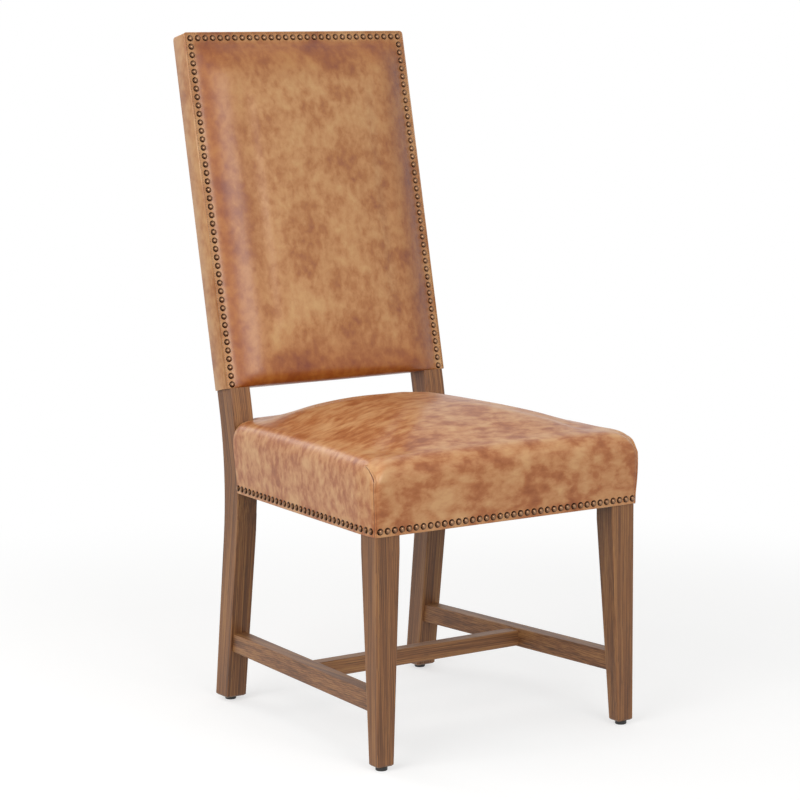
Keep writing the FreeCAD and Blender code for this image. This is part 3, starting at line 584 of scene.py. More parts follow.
def press_out(made: Object, held: list[float], cap: float) -> None:
    """Lets a cover settle under its padding's push by cloth simulation, pinned where it is nailed.

    Args:
        made: The cover, closed and not yet subdivided.
        held: How firmly each vertex is pinned, from 0 to 1.
        cap: The most that a vertex may move.
    """
    frames, pressure, stretch, bend, smoothings = 20, 4.0, 30.0, 2.0, 12
    pins = made.vertex_groups.new(name="pinned")
    for index, firmness in enumerate(held):
        pins.add([index], firmness, "REPLACE")
    cloth = made.modifiers.new("Cloth", "CLOTH")
    cloth.point_cache.frame_end = frames
    settings = cloth.settings
    settings.vertex_group_mass = pins.name
    settings.use_pressure = True
    settings.uniform_pressure_force = pressure
    settings.tension_stiffness = settings.compression_stiffness = stretch
    settings.bending_stiffness = bend
    settings.effector_weights.gravity = 0.0
    scene = bpy.context.scene
    for frame_number in range(1, frames + 1):
        scene.frame_set(frame_number)
    pushed = made.evaluated_get(bpy.context.evaluated_depsgraph_get()).data
    moves = [after.co - before.co for before, after in zip(made.data.vertices, pushed.vertices)]
    made.modifiers.clear()
    made.vertex_groups.clear()
    scene.frame_set(1)
    # Averaging with the neighbours takes out the small folds of a cover still in motion.
    beside = [[] for _ in moves]
    for edge in made.data.edges:
        first, second = edge.vertices
        beside[first].append(second)
        beside[second].append(first)
    for _ in range(smoothings):
        moves = [
            move * (1 - firmness) if firmness
            else (move + sum((moves[at] for at in near), Vector())) / (1 + len(near))
            for move, firmness, near in zip(moves, held, beside)
        ]
    for vertex, move in zip(made.data.vertices, moves):
        if move.length:
            vertex.co += move * (cap * math.tanh(move.length / cap) / move.length)
    farthest = max(move.length for move in moves)
    log.info("pressed out %s: up to %.1f mm before the cap", made.name, farthest / MM)


def within(share: float) -> float:
    """A share held between 0 and 1."""
    return min(1.0, max(0.0, share))


def ease(share: float) -> float:
    """Smooth step from 0 to 1, clamped."""
    share = within(share)
    return share * share * (3 - 2 * share)


def quarter(share: float, fullness: float = 2.0) -> float:
    """Height of a quarter ellipse, or a fuller curve, at a share of its reach, clamped at 1."""
    return (1 - (1 - within(share)) ** fullness) ** (1 / fullness)


def start_pad(segments: int, levels: int) -> BMesh:
    """Starts a closed pad in a unit square: a top sheet, rings one unit apart below it and a bottom sheet.

    Args:
        segments: Faces along each side of a sheet.
        levels: Number of rings below the top.

    Returns:
        The pad's mesh, with its level as the negative z.
    """
    mesh = bmesh.new()
    bmesh.ops.create_grid(mesh, x_segments=segments, y_segments=segments, size=1.0)
    rim = [edge for edge in mesh.edges if edge.is_boundary]
    for _ in range(levels):
        made = bmesh.ops.extrude_edge_only(mesh, edges=rim)["geom"]
        bmesh.ops.translate(mesh, verts=[item for item in made if isinstance(item, BMVert)], vec=(0, 0, -1))
        rim = [item for item in made if isinstance(item, BMEdge) and item.is_boundary]
    bmesh.ops.create_grid(
        mesh, x_segments=segments, y_segments=segments, size=1.0, matrix=Matrix.Translation((0, 0, -levels)),
    )
    # The sheets' rims are joined to the rings, well within one face of each other.
    near = 0.1 / segments
    bmesh.ops.remove_doubles(mesh, verts=mesh.verts, dist=near)
    bmesh.ops.recalc_face_normals(mesh, faces=mesh.faces)
    return mesh


@dataclass
class SeatCushion:
    """The seat's leather over its foam: nailed hem, upright walls, turned shoulders and a crown."""

    finishes: Finishes
    segments: int = 76
    shoulder_share: float = 0.24
    bulge: float = 4.3 * MM
    shoulder_height: float = 456 * MM
    shoulder_reach: float = 30 * MM
    shoulder_rise: float = 36 * MM
    side_fullness: float = 2.35
    crown: float = 47.5 * MM
    crown_start: float = 25.7 * MM
    crown_reach: float = 182 * MM
    crown_power: float = 1.4
    squareness: float = 3.5
    foot: float = 0.08
    tip: float = 0.2
    centre: float = 120 * MM
    rear_lift: float = 2.3 * MM
    hem_corner: float = 8 * MM
    wall_corner: float = 14 * MM
    top_corner: float = 42 * MM
    bend_setback: float = 45.8 * MM
    side_slope: float = 0.0881
    post_inner: float = 180 * MM
    post_gap: float = 1.0 * MM
    bend_radius: float = 700 * MM
    bend_y: float = 845.8 * MM
    bend_z: float = 381.9 * MM
    floor_level: float = 445.6 * MM
    wall: tuple[float, ...] = (0.86, 0.7, 0.52, 0.36, 0.22, 0.1, 0.03)
    pin_fade: float = 60 * MM
    press_cap: float = 4 * MM
    crease_angle: float = math.radians(50)

    def __post_init__(self) -> None:
        """Reads the cushion's place from the frame."""
        low, high = (Vector(corner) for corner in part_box("seat_leather"))
        self.hem = low.z
        self.front = low.y + self.bulge
        self.rear = high.y - self.bulge
        self.half = high.x - self.bulge
        self.middle = (self.front + self.rear) / 2
        self.depth = (self.rear - self.front) / 2
        # Rings below the shoulder: outer wall down to the hem, then the inner face up again.
        rise = self.shoulder_height - self.hem
        self.outer = [self.hem + share * rise for share in self.wall] + [self.hem]
        self.inner = [self.hem, self.hem + HEM_WIDTH, self.floor_level]

    def side(self, y: float) -> float:
        """Half width of the hem's outline at a depth."""
        return self.half - max(0.0, y - self.front - self.bend_setback) * self.side_slope

    def inset(self, share: float, half: float) -> float:
        """Distance in from the edge of a grid line, close-set in the shoulder.

        Args:
            share: Grid coordinate from 0 in the middle to 1 at the edge.
            half: Half the cushion's size on that axis.

        Returns:
            The distance in metres.
        """
        start = 1 - self.shoulder_share
        if share > start:
            turn = (1 - share) / self.shoulder_share
            return self.shoulder_reach * (1 - math.cos(turn * math.pi / 2))
        return self.shoulder_reach + (half - self.shoulder_reach) * (start - share) / start

    def outline(self, u: float, v: float, radius: float, outset: float) -> tuple[float, float, float, float]:
        """Plan place of a grid point on its ring, with the ring's corners rounded.

        Args:
            u: Grid coordinate across, from -1 to 1.
            v: Grid coordinate in depth, from -1 at the front to 1.
            radius: Corner radius at the edge.
            outset: How far the ring stands outside the hem's outline.

        Returns:
            x, y, and the distances in from the side and from the front or rear.
        """
        b = self.inset(abs(v), self.depth)
        y = math.copysign(self.depth - b + outset * min(1.0, (self.depth - b) / self.centre), v)
        wide = self.side(self.middle + y)
        a = self.inset(abs(u), wide)
        x = math.copysign(wide - a + outset * min(1.0, (wide - a) / self.centre), u)
        d = min(a, b)
        corner = radius + (self.top_corner - radius) * ease(d / self.shoulder_reach)
        p = abs(x) - (wide + outset - d - corner)
        q = abs(y) - (self.depth + outset - d - corner)
        if p > 0 and q > 0:
            s, t = min(1.0, p / corner), min(1.0, q / corner)
            x = math.copysign(abs(x) - p + corner * s * math.sqrt(1 - t * t / 2), x)
            y = math.copysign(abs(y) - q + corner * t * math.sqrt(1 - s * s / 2), y)
        return x, self.middle + y, a, b

    def height(self, a: float, b: float, y: float) -> float:
        """Height of the cushion's top.

        Args:
            a: Distance in from the side.
            b: Distance in from the front or rear.
            y: Depth in the frame.

        Returns:
            The height in the frame's metres.
        """
        turned = quarter(a / self.shoulder_reach, self.side_fullness) * quarter(b / self.shoulder_reach)
        shoulder = self.shoulder_rise * turned
        shares = [within((d - self.crown_start) / self.crown_reach) for d in (a, b)]
        near = 1 - sum((1 - share) ** self.squareness for share in shares) ** (1 / self.squareness)
        # The foot lets the crown rise softly out of the corners.
        far = 1 - (near + math.hypot(near, self.foot)) / 2
        # The tip keeps the crown round where its sides meet.
        fall = [(reach ** 2 + self.tip ** 2) ** (self.crown_power / 2) for reach in (0.0, far, 1.0)]
        crown = self.crown * (1 - (fall[1] - fall[0]) / (fall[2] - fall[0]))
        lift = self.rear_lift * (y - self.middle) / self.depth * min(shares)
        return self.shoulder_height + shoulder + crown + lift

    def post_front(self, z: float) -> float:
        """Depth of the posts' front face at a height."""
        return self.bend_y - math.sqrt(self.bend_radius ** 2 - (z - self.bend_z) ** 2)

    def place(self, u: float, v: float, level: int) -> Vector:
        """Place of a grid point on the top (level 0) or on a ring below it.

        Args:
            u: Grid coordinate across.
            v: Grid coordinate in depth.
            level: Ring number below the top.

        Returns:
            The point in the frame's metres.
        """
        if level == 0:
            x, y, a, b = self.outline(u, v, self.wall_corner, self.bulge)
            return Vector((x, y, self.height(a, b, y)))
        if level <= len(self.outer):
            z = self.outer[level - 1]
            rise = within((z - self.hem - HEM_WIDTH) / (self.shoulder_height - self.hem - HEM_WIDTH))
            out = self.bulge * (1 - (1 - rise) ** 2)
            corner = self.hem_corner + (self.wall_corner - self.hem_corner) * rise
            x, y, _, _ = self.outline(u, v, corner, out)
            return Vector((x, y, z))
        z = self.inner[level - len(self.outer) - 1]
        x, y, _, _ = self.outline(u, v, self.hem_corner - LEATHER, -LEATHER)
        return Vector((x, y, z))

    def relieve(self, made: Object) -> None:
        """Adds the leather's slack: low waves, less of them on the walls and hem, and a tuck at each post.

        Args:
            made: The cushion object, its mesh already fine.
        """
        broad, small = 85 * MM, 24 * MM
        wave, ripple = 1.0 * MM, 0.16 * MM
        wall_share, hem_share = 0.25, 0.2
        fade_below, fade = 20 * MM, 40 * MM
        tuck_reach, tuck_drop = 14 * MM, 6 * MM
        vertices = made.data.vertices
        normals = [vertex.normal.copy() for vertex in vertices]
        for vertex, normal in zip(vertices, normals):
            spot = vertex.co
            on_top = ease((spot.z - self.shoulder_height + fade_below) / fade)
            lift = wave * noise.noise(spot / broad) + ripple * noise.noise(spot / small)
            move = normal * lift * (wall_share + (1 - wall_share) * on_top)
            if spot.z < self.hem + HEM_WIDTH:
                move *= hem_share
            beside = self.post_inner - abs(spot.x)
            before = self.post_front(spot.z) - spot.y
            away = math.hypot(max(0.0, beside), max(0.0, before))
            if away < tuck_reach:
                move.z -= tuck_drop * (1 - away / tuck_reach) ** 2 * on_top
            vertex.co = spot + move

    def cut_post_rooms(self, made: Object) -> None:
        """Cuts the rear corners away round the posts and closes the cut faces.

        Args:
            made: The cushion object, its mesh already fine.
        """
        mesh = bmesh.new()
        mesh.from_mesh(made.data)
        near = 0.02 * MM
        inner = self.post_inner - self.post_gap
        rest = self.post_front(self.shoulder_height)
        front = rest - self.post_gap
        # The posts' front face curves with height, so the mesh is sheared until that face is a plane.
        for vertex in mesh.verts:
            vertex.co.y -= self.post_front(vertex.co.z) - rest
        across, ahead = (1, 0, 0), (0, 1, 0)
        for place, normal in (((inner, 0, 0), across), ((-inner, 0, 0), across), ((0, front, 0), ahead)):
            bmesh.ops.bisect_plane(
                mesh, geom=mesh.verts[:] + mesh.edges[:] + mesh.faces[:],
                dist=near / 2, plane_co=place, plane_no=normal,
            )
        taken = [
            face for face in mesh.faces
            if abs(face.calc_center_median().x) > inner and face.calc_center_median().y > front
        ]
        bmesh.ops.delete(mesh, geom=taken, context="FACES")
        for sign in (-1, 1):
            rim = [
                edge for edge in mesh.edges
                if edge.is_boundary and edge.verts[0].co.x * sign > inner - near
            ]
            beside = {vert for edge in rim for vert in edge.verts if abs(vert.co.x * sign - inner) < near}
            before = {vert for edge in rim for vert in edge.verts if abs(vert.co.y - front) < near}
            corner = mesh.edges.new(sorted(beside & before, key=lambda vert: vert.co.z))
            for chosen in (beside, before):
                loop = [edge for edge in rim if set(edge.verts) <= chosen]
                bmesh.ops.contextual_create(mesh, geom=loop + [corner])
        for vertex in mesh.verts:
            vertex.co.y += self.post_front(vertex.co.z) - rest
        mesh.to_mesh(made.data)
        mesh.free()

    def build(self) -> Object:
        """Builds the cushion and puts it in place of the frame's soft solids.

        Returns:
            The cushion object.
        """
        mesh = start_pad(self.segments, len(self.outer) + len(self.inner))
        held = []
        for vertex in mesh.verts:
            u, v, level = vertex.co.x, vertex.co.y, round(-vertex.co.z)
            inside = min(self.inset(abs(u), self.half), self.inset(abs(v), self.depth)) - self.shoulder_reach
            held.append(1.0 if level else 1 - ease(inside / self.pin_fade))
            vertex.co = self.place(u, v, level)
        cushion = settle("seat_cushion", mesh, self.finishes.seat_leather)
        press_out(cushion, held, self.press_cap)
        subdivide(cushion)
        apply_modifiers(cushion)
        self.relieve(cushion)
        self.cut_post_rooms(cushion)
        sharpen(cushion, self.crease_angle)
        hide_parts("seat_leather", "seat_foam")
        return cushion


@dataclass
class LeanedBack:
    """The back's own axes: x across, y into its depth from the front leather, z up along the rake."""

    def __post_init__(self) -> None:
        """Reads the back's place from the frame."""
        low, high = (Vector(corner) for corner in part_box("back_front_leather"))
        base = low.z + LEATHER * math.sin(BACK_RAKE)
        self.half = high.x
        self.length = (high.z - base) / math.cos(BACK_RAKE)
        depth = high.y - LEATHER * math.cos(BACK_RAKE) - self.length * math.sin(BACK_RAKE)
        self.place = Matrix.Translation((0, depth, base)) @ Matrix.Rotation(-BACK_RAKE, 4, "X")
        self.forward = self.place.to_3x3() @ Vector((0, -1, 0))

    def stand(self, mesh: BMesh) -> None:
        """Moves a shape from the back's axes to the frame's."""
        bmesh.ops.transform(mesh, matrix=self.place, verts=mesh.verts)


@dataclass
class BackPanel:
    """The back's front: a flat nailed border round a raised, padded panel."""

    finishes: Finishes
    axes: LeanedBack
    segments: int = 76
    border: float = 16 * MM
    border_share: float = 0.07
    edge_reach: float = 62 * MM
    edge_rise: float = 18 * MM
    edge_share: float = 0.2
    crown: float = 23 * MM
    crown_reach: float = 165 * MM
    roll: float = 22 * MM
    rounding: float = 0.8 * MM
    rounding_reach: float = 3 * MM
    stain_and_shade_reach: float = 95 * MM
    stain_and_shade_start: float = 4 * MM
    sag: float = 2.2 * MM
    sag_reach: float = 80 * MM
    pin_fade: float = 100 * MM
    press_cap: float = 4 * MM

    def from_edge(self, share: float, half: float) -> float:
        """Distance in from the edge of a grid line, close-set at the border and the swell.

        Args:
            share: Grid coordinate from 0 in the middle to 1 at the edge.
            half: Half the panel's size on that axis.

        Returns:
            The distance in metres.
        """
        past = 1 - share
        if past < self.border_share:
            return self.border * past / self.border_share
        past -= self.border_share
        if past < self.edge_share:
            return self.border + self.edge_reach * past / self.edge_share
        start = self.border + self.edge_reach
        return start + (half - start) * (past - self.edge_share) / (1 - self.border_share - self.edge_share)

    def from_bottom(self, share: float, half: float) -> float:
        """Distance up from the bottom edge, which has no border, close-set where the panel rolls under.

        Args:
            share: Grid coordinate from 0 in the middle to 1 at the bottom.
            half: Half the panel's length.

        Returns:
            The distance in metres.
        """
        up = self.from_edge(share, half)
        reach = self.border + self.edge_reach
        return reach * (1 - math.cos(min(1.0, up / reach) * math.pi / 2)) if up < reach else up

    def swell(self, a: float, b: float, c: float) -> float:
        """How far the panel stands out.

        Args:
            a: Distance in from the side.
            b: Distance down from the top.
            c: Distance up from the bottom.

        Returns:
            The height in metres.
        """
        edge = crown = 1.0
        for inset in (a - self.border, b - self.border):
            edge *= 1 - (1 - within(inset / self.edge_reach)) ** 2
            crown *= 1 - (1 - within(inset / self.crown_reach)) ** 2
        edge *= quarter(c / self.roll)
        crown *= 1 - (1 - within(c / self.crown_reach)) ** 2
        return self.edge_rise * edge + (self.crown - self.edge_rise) * crown

    def build(self) -> Object:
        """Builds the panel and puts it in place of the frame's soft solids.

        Returns:
            The panel object.
        """
        half, length = self.axes.half, self.axes.length
        depths = [self.rounding, LEATHER]
        broad, small = 95 * MM, 26 * MM
        wave, ripple = 1.3 * MM, 0.3 * MM
        mesh = start_pad(self.segments, len(depths))
        stain = mesh.verts.layers.float.new("edge")
        held = []
        for vertex in mesh.verts:
            u, v, level = vertex.co.x, vertex.co.y, round(-vertex.co.z)
            a = self.from_edge(abs(u), half)
            x = math.copysign(half - a, u)
            if v > 0:
                b = self.from_edge(v, length / 2)
                c = length - b
            else:
                c = self.from_bottom(-v, length / 2)
                b = length - c
            inside = min(a, b) - self.border
            # Darker towards the border where the padding rises: partly the hide's own colour, partly painted
            # shade in the crease beside the nails.
            vertex[stain] = (1 - ease(min(inside, c) / self.stain_and_shade_reach)) * ease(inside / self.stain_and_shade_start)
            held.append(1.0 if level else 1 - ease(min(inside, c) / self.pin_fade))
            out = self.swell(a, b, c)
            loose = min(1.0, out / self.edge_rise)
            spot = Vector((x, 0, c))
            out += loose * (wave * noise.noise(spot / broad) + ripple * noise.noise(spot / small))
            across = min(1.0, abs(x) / (half - self.border))
            drop = self.sag * (1 - across ** 2) * (1 - ease(c / self.sag_reach))
            if level == 0:
                # The leather's edge is rounded where its face ends.
                x -= math.copysign(self.rounding * (1 - ease(a / self.rounding_reach)), x)
            vertex.co = (x, depths[level - 1] if level else -out, c - drop)
        self.axes.stand(mesh)
        bmesh.ops.recalc_face_normals(mesh, faces=mesh.faces)
        panel = settle("back_front_panel", mesh, self.finishes.back_leather)
        press_out(panel, held, self.press_cap)
        subdivide(panel)
        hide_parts("back_front_leather", "back_foam")
        return panel


@dataclass
class BackBands:
    """Leather round the back's edges and over its outside."""

    finishes: Finishes
    axes: LeanedBack
    thickness: float = 4.2 * MM
    depth: float = 40.5 * MM
    corner: float = 7 * MM
    edge: float = 1.3 * MM
    bottom_half: float = 179.2 * MM

    def slab(self, name: str, low: Vector, high: Vector, corner: float) -> Object:
        """Makes a softened strip with a larger rounding along its rear top edge.

        Args:
            name: The piece's name.
            low: Lowest corner in the back's axes.
            high: Highest corner in the back's axes.
            corner: Radius along the rear top edge.

        Returns:
            The strip object.
        """
        mesh = bmesh.new()
        bmesh.ops.create_cube(mesh, size=1.0)
        bmesh.ops.scale(mesh, vec=high - low, verts=mesh.verts)
        bmesh.ops.translate(mesh, vec=(low + high) / 2, verts=mesh.verts)
        near = 0.1 * MM
        rear_top = [
            edge for edge in mesh.edges
            if all(high.y - vert.co.y < near and high.z - vert.co.z < near for vert in edge.verts)
        ]
        round_edges = {"profile": 0.5, "affect": "EDGES", "material": -1}
        bmesh.ops.bevel(mesh, geom=rear_top, offset=corner, segments=5, **round_edges)
        square, sharp = math.radians(60), math.radians(35)
        rest = [edge for edge in mesh.edges if edge.calc_face_angle(0.0) > square]
        bmesh.ops.bevel(mesh, geom=rest, offset=self.edge, segments=2, **round_edges)
        self.axes.stand(mesh)
        strip = settle(name, mesh, self.finishes.back_leather)
        sharpen(strip, sharp)
        return strip

    def build(self) -> list[Object]:
        """Builds the side, top and bottom bands and the outside leather.

        Returns:
            The band objects.
        """
        half, length = self.axes.half, self.axes.length
        inner, top = half - self.thickness, length - self.thickness
        rear, low_half = self.depth - LEATHER, self.bottom_half
        turned = self.thickness - self.edge
        plan = [
            ("back_side_band_left", (-half, LEATHER, 0), (-inner, self.depth, length), self.corner),
            ("back_side_band_right", (inner, LEATHER, 0), (half, self.depth, length), self.corner),
            ("back_top_band", (-inner, LEATHER, top), (inner, self.depth, length), turned),
            ("back_bottom_band", (-low_half, LEATHER, 0), (low_half, rear, self.thickness), self.edge),
            ("back_outside_leather", (-inner, rear, 0), (inner, self.depth, top), self.edge),
        ]
        made = []
        for node, low, high, corner in plan:
            strip = self.slab(node + "_cover", Vector(low), Vector(high), corner)
            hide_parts(node)
            made.append(strip)
        return made


def swept(name: str, points: list[Vector], radius: float, material: Material) -> Object:
    """Makes a round line along points: sewn or folded leather, and the seat corners' dark line of painted
    crease shade.

    Args:
        name: The piece's name.
        points: The line, in the frame's metres.
        radius: Half its breadth.
        material: Its material.

    Returns:
        The line as a mesh object.
    """
    curve = bpy.data.curves.new(name, "CURVE")
    curve.dimensions = "3D"
    curve.bevel_depth = radius
    curve.bevel_resolution = 2
    curve.use_fill_caps = True
    line = curve.splines.new("NURBS")
    line.points.add(len(points) - 1)
    for point, spot in zip(line.points, points):
        point.co = (*spot, 1)
    line.order_u = 4
    line.use_endpoint_u = True
    line.resolution_u = 3
    helper = bpy.data.objects.new(name, curve)
    bpy.context.scene.collection.objects.link(helper)
    graph = bpy.context.evaluated_depsgraph_get()
    graph.update()
    mesh = bmesh.new()
    data = bpy.data.meshes.new_from_object(helper.evaluated_get(graph))
    mesh.from_mesh(data)
    bpy.data.meshes.remove(data)
    bpy.data.objects.remove(helper)
    bmesh.ops.remove_doubles(mesh, verts=mesh.verts, dist=TOUCHING)
    bmesh.ops.recalc_face_normals(mesh, faces=mesh.faces)
    made = settle(name, mesh, material)
    return made


@dataclass
class Seams:
    """The folded and sewn lines round the back's front edge and up the seat's front corners, each seat corner
    with a dark line of painted crease shade beside it.
    """

    finishes: Finishes
    axes: LeanedBack
    seat: SeatCushion
    cushion: Object
    welt: float = 1.6 * MM
    sunk_share: float = 0.7
    # The dark line beside each seat corner's fold is painted shade of the crease: its radius, and how far it
    # sits from the fold.
    groove: float = 0.9 * MM
    groove_shift: float = 2.2 * MM
    corner: float = 5 * MM
    proud: float = 0.3 * MM
    stitch_inset: float = 2.2 * MM
    stitch_pitch: float = 4.2 * MM
    stitch_length: float = 2.9 * MM
    stitch_breadth: float = 0.7 * MM
    stitch_lift: float = 0.1

    def stitches(self, name: str, points: list[Vector]) -> Object:
        """Makes a row of short stitches along a line on the back's front.

        Args:
            name: The piece's name.
            points: The line, in the frame's metres.

        Returns:
            The stitches as one object.
        """
        breadth = self.stitch_breadth
        stitch = bmesh.new()
        bmesh.ops.create_uvsphere(stitch, u_segments=6, v_segments=4, radius=0.5)
        bmesh.ops.scale(stitch, vec=(breadth, breadth, self.stitch_length), verts=stitch.verts)
        template = bpy.data.meshes.new("stitch")
        stitch.to_mesh(template)
        stitch.free()
        lift = self.axes.forward * breadth * self.stitch_lift
        places = []
        left = self.stitch_pitch / 2
        for start, end in zip(points, points[1:]):
            span = (end - start).length
            turn = (end - start).normalized().to_track_quat("Z", "Y").to_matrix().to_4x4()
            while left < span:
                places.append(Matrix.Translation(start.lerp(end, left / span) + lift) @ turn)
                left += self.stitch_pitch
            left -= span
        made = scatter(name, template, places, self.finishes.thread)
        bpy.data.meshes.remove(template)
        return made

    def back_line(self, inset: float, out: float) -> list[Vector]:
        """The line up the left edge, over the top and down the right.

        Args:
            inset: How far the line is drawn in from the edge.
            out: How far it stands out from the front.

        Returns:
            The line's points.
        """
        half, top = self.axes.half - inset, self.axes.length - inset
        turns = 6
        local = [Vector((-half, -out, 0))]
        for side, start in ((-1, math.pi), (1, math.pi / 2)):
            centre = Vector((side * (half - self.corner), -out, top - self.corner))
            for step in range(turns + 1):
                angle = start - step / turns * math.pi / 2
                local.append(centre + Vector((math.cos(angle), 0, math.sin(angle))) * self.corner)
        local.append(Vector((half, -out, 0)))
        return [self.axes.place @ spot for spot in local]

    def seat_line(self, sign: int, shift: float) -> list[Vector]:
        """The line up a front corner and back over the front shoulder beside the side's edge.

        Args:
            sign: -1 for the left corner, 1 for the right.
            shift: How far the line is moved across, towards the middle.

        Returns:
            The line's points.
        """
        seat = self.seat
        line = [seat.place(sign, -1, level) for level in range(len(seat.outer), 0, -1)]
        # Over the shoulder the line climbs first and then runs back.
        steps, climb, inward, lean = 14, 1.7, 0.4, 0.8
        for step in range(steps + 1):
            turn = step / steps
            v = -1 + seat.shoulder_share * turn ** climb
            u = sign * (1 - seat.shoulder_share * inward * turn ** lean)
            line.append(seat.place(u, v, 0))
        spots = [spot + Vector((-sign * shift, 0, 0)) for spot in line]
        found = [self.cushion.closest_point_on_mesh(spot) for spot in spots]
        return [spot + normal * self.proud for _, spot, normal, _ in found]

    def build(self) -> list[Object]:
        """Builds every seam line.

        Returns:
            The seam objects.
        """
        leather, hide = self.finishes.back_leather, self.finishes.seat_leather
        made = [
            swept("back_edge_fold", self.back_line(0, -self.welt * self.sunk_share), self.welt, leather),
            self.stitches("back_edge_stitches", self.back_line(self.stitch_inset, 0)),
        ]
        for name, sign in (("left", -1), ("right", 1)):
            line = self.seat_line(sign, 0)
            made.append(swept(f"seat_corner_fold_{name}", line, self.welt, hide))
            # A dark tube a little proud of the leather beside the fold: painted shade of the seam's crease.
            line = self.seat_line(sign, -self.groove_shift)
            made.append(swept(f"seat_corner_crease_shade_{name}", line, self.groove, self.finishes.crease_shade))
        return made


def spaced(first: float, last: float, count: int) -> list[float]:
    """Evenly spaced numbers from the first to the last."""
    return [first + (last - first) * index / (count - 1) for index in range(count)]


@dataclass
class NailRows:
    """Round-headed nails along the seat's hem and the back's border."""

    finishes: Finishes
    axes: LeanedBack
    seat: SeatCushion
    front_count: int = 38
    side_count: int = 33
    back_side_count: int = 41
    back_top_count: int = 30
    back_inset: float = 10.5 * MM
    back_drop: float = 9.2 * MM
    back_rise: float = 6.5 * MM
    radius: float = 5.6 * MM
    dome: float = 3.5 * MM
    skirt: float = 0.6 * MM
    slices: int = 12
    rings: int = 4
    turn_step: float = 1.7

    def __post_init__(self) -> None:
        """Makes the head that every nail copies."""
        ball = (self.radius ** 2 + self.dome ** 2) / (2 * self.dome)
        half = math.asin(self.radius / ball)
        mesh = bmesh.new()
        layer = mesh.verts.layers.float.new("crown")
        profile = []
        for ring in range(self.rings + 1):
            angle = half * (1 - ring / self.rings)
            radius, height = ball * math.sin(angle), ball * math.cos(angle) - ball + self.dome
            profile.append(mesh.verts.new((radius, 0, height)))
        profile.insert(0, mesh.verts.new((self.radius, 0, -self.skirt)))
        edges = [mesh.edges.new(pair) for pair in zip(profile, profile[1:])]
        bmesh.ops.spin(
            mesh, geom=profile + edges, cent=(0, 0, 0), axis=(0, 0, 1),
            angle=2 * math.pi, steps=self.slices, use_merge=True,
        )
        bmesh.ops.remove_doubles(mesh, verts=mesh.verts, dist=TOUCHING)
        rim = [edge for edge in mesh.edges if edge.is_boundary]
        bmesh.ops.holes_fill(mesh, edges=rim, sides=len(rim))
        bmesh.ops.recalc_face_normals(mesh, faces=mesh.faces)
        # Height share on the dome; the brass darkens towards the rim by it, partly patina and partly painted
        # shade.
        for vertex in mesh.verts:
            vertex[layer] = within(vertex.co.z / self.dome)
        self.head = bpy.data.meshes.new("nail_head")
        mesh.to_mesh(self.head)
        mesh.free()

    def row(self, node: str, spots: Iterable[tuple[Vector, Vector]]) -> Object:
        """Makes one row of heads in place of a frame node.

        Args:
            node: The frame's node.
            spots: Each head's foot and the way it faces.

        Returns:
            The row object.
        """
        places = []
        for index, (spot, heading) in enumerate(spots):
            # Each head is turned further than the last, so that their facets don't line up.
            spin = Matrix.Rotation(index * self.turn_step, 4, "Z")
            turn = heading.to_track_quat("Z", "Y").to_matrix().to_4x4()
            places.append(Matrix.Translation(spot) @ turn @ spin)
        made = scatter(node + "_heads", self.head, places, self.finishes.brass)
        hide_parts(node)
        return made

    def seat_rows(self) -> list[Object]:
        """Builds the seat's front and side rows.

        Returns:
            The row objects.
        """
        forward = Vector((0, -1, 0))
        low, high = (Vector(corner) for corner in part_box("seat_nails_front"))
        level, face = (low.z + high.z) / 2, low.y + FRAME_NAIL_DOME
        across = spaced(low.x + FRAME_NAIL_RADIUS, high.x - FRAME_NAIL_RADIUS, self.front_count)
        made = [self.row("seat_nails_front", [(Vector((x, face, level)), forward) for x in across])]
        bend = self.seat.front + self.seat.bend_setback
        for name, sign in (("left", -1), ("right", 1)):
            low, high = (Vector(corner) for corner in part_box(f"seat_nails_{name}"))
            spots = []
            for y in spaced(low.y + FRAME_NAIL_RADIUS, high.y - FRAME_NAIL_RADIUS, self.side_count):
                slope = self.seat.side_slope if y > bend else 0.0
                spot = Vector((sign * self.seat.side(y), y, level))
                spots.append((spot, Vector((sign, slope, 0)).normalized()))
            made.append(self.row(f"seat_nails_{name}", spots))
        return made

    def back_rows(self) -> list[Object]:
        """Builds the back's side columns and its top row.

        Returns:
            The row objects.
        """
        place, forward = self.axes.place, self.axes.forward
        top = self.axes.length - self.back_drop
        pitch = (top - self.back_rise) / self.back_side_count
        x = self.axes.half - self.back_inset
        made = [
            self.row(f"back_nails_{name}", [
                (place @ Vector((sign * x, 0, self.back_rise + index * pitch)), forward)
                for index in range(self.back_side_count)
            ])
            for name, sign in (("left", -1), ("right", 1))
        ]
        made.append(self.row("back_nails_top", [
            (place @ Vector((across, 0, top)), forward) for across in spaced(-x, x, self.back_top_count)
        ]))
        return made


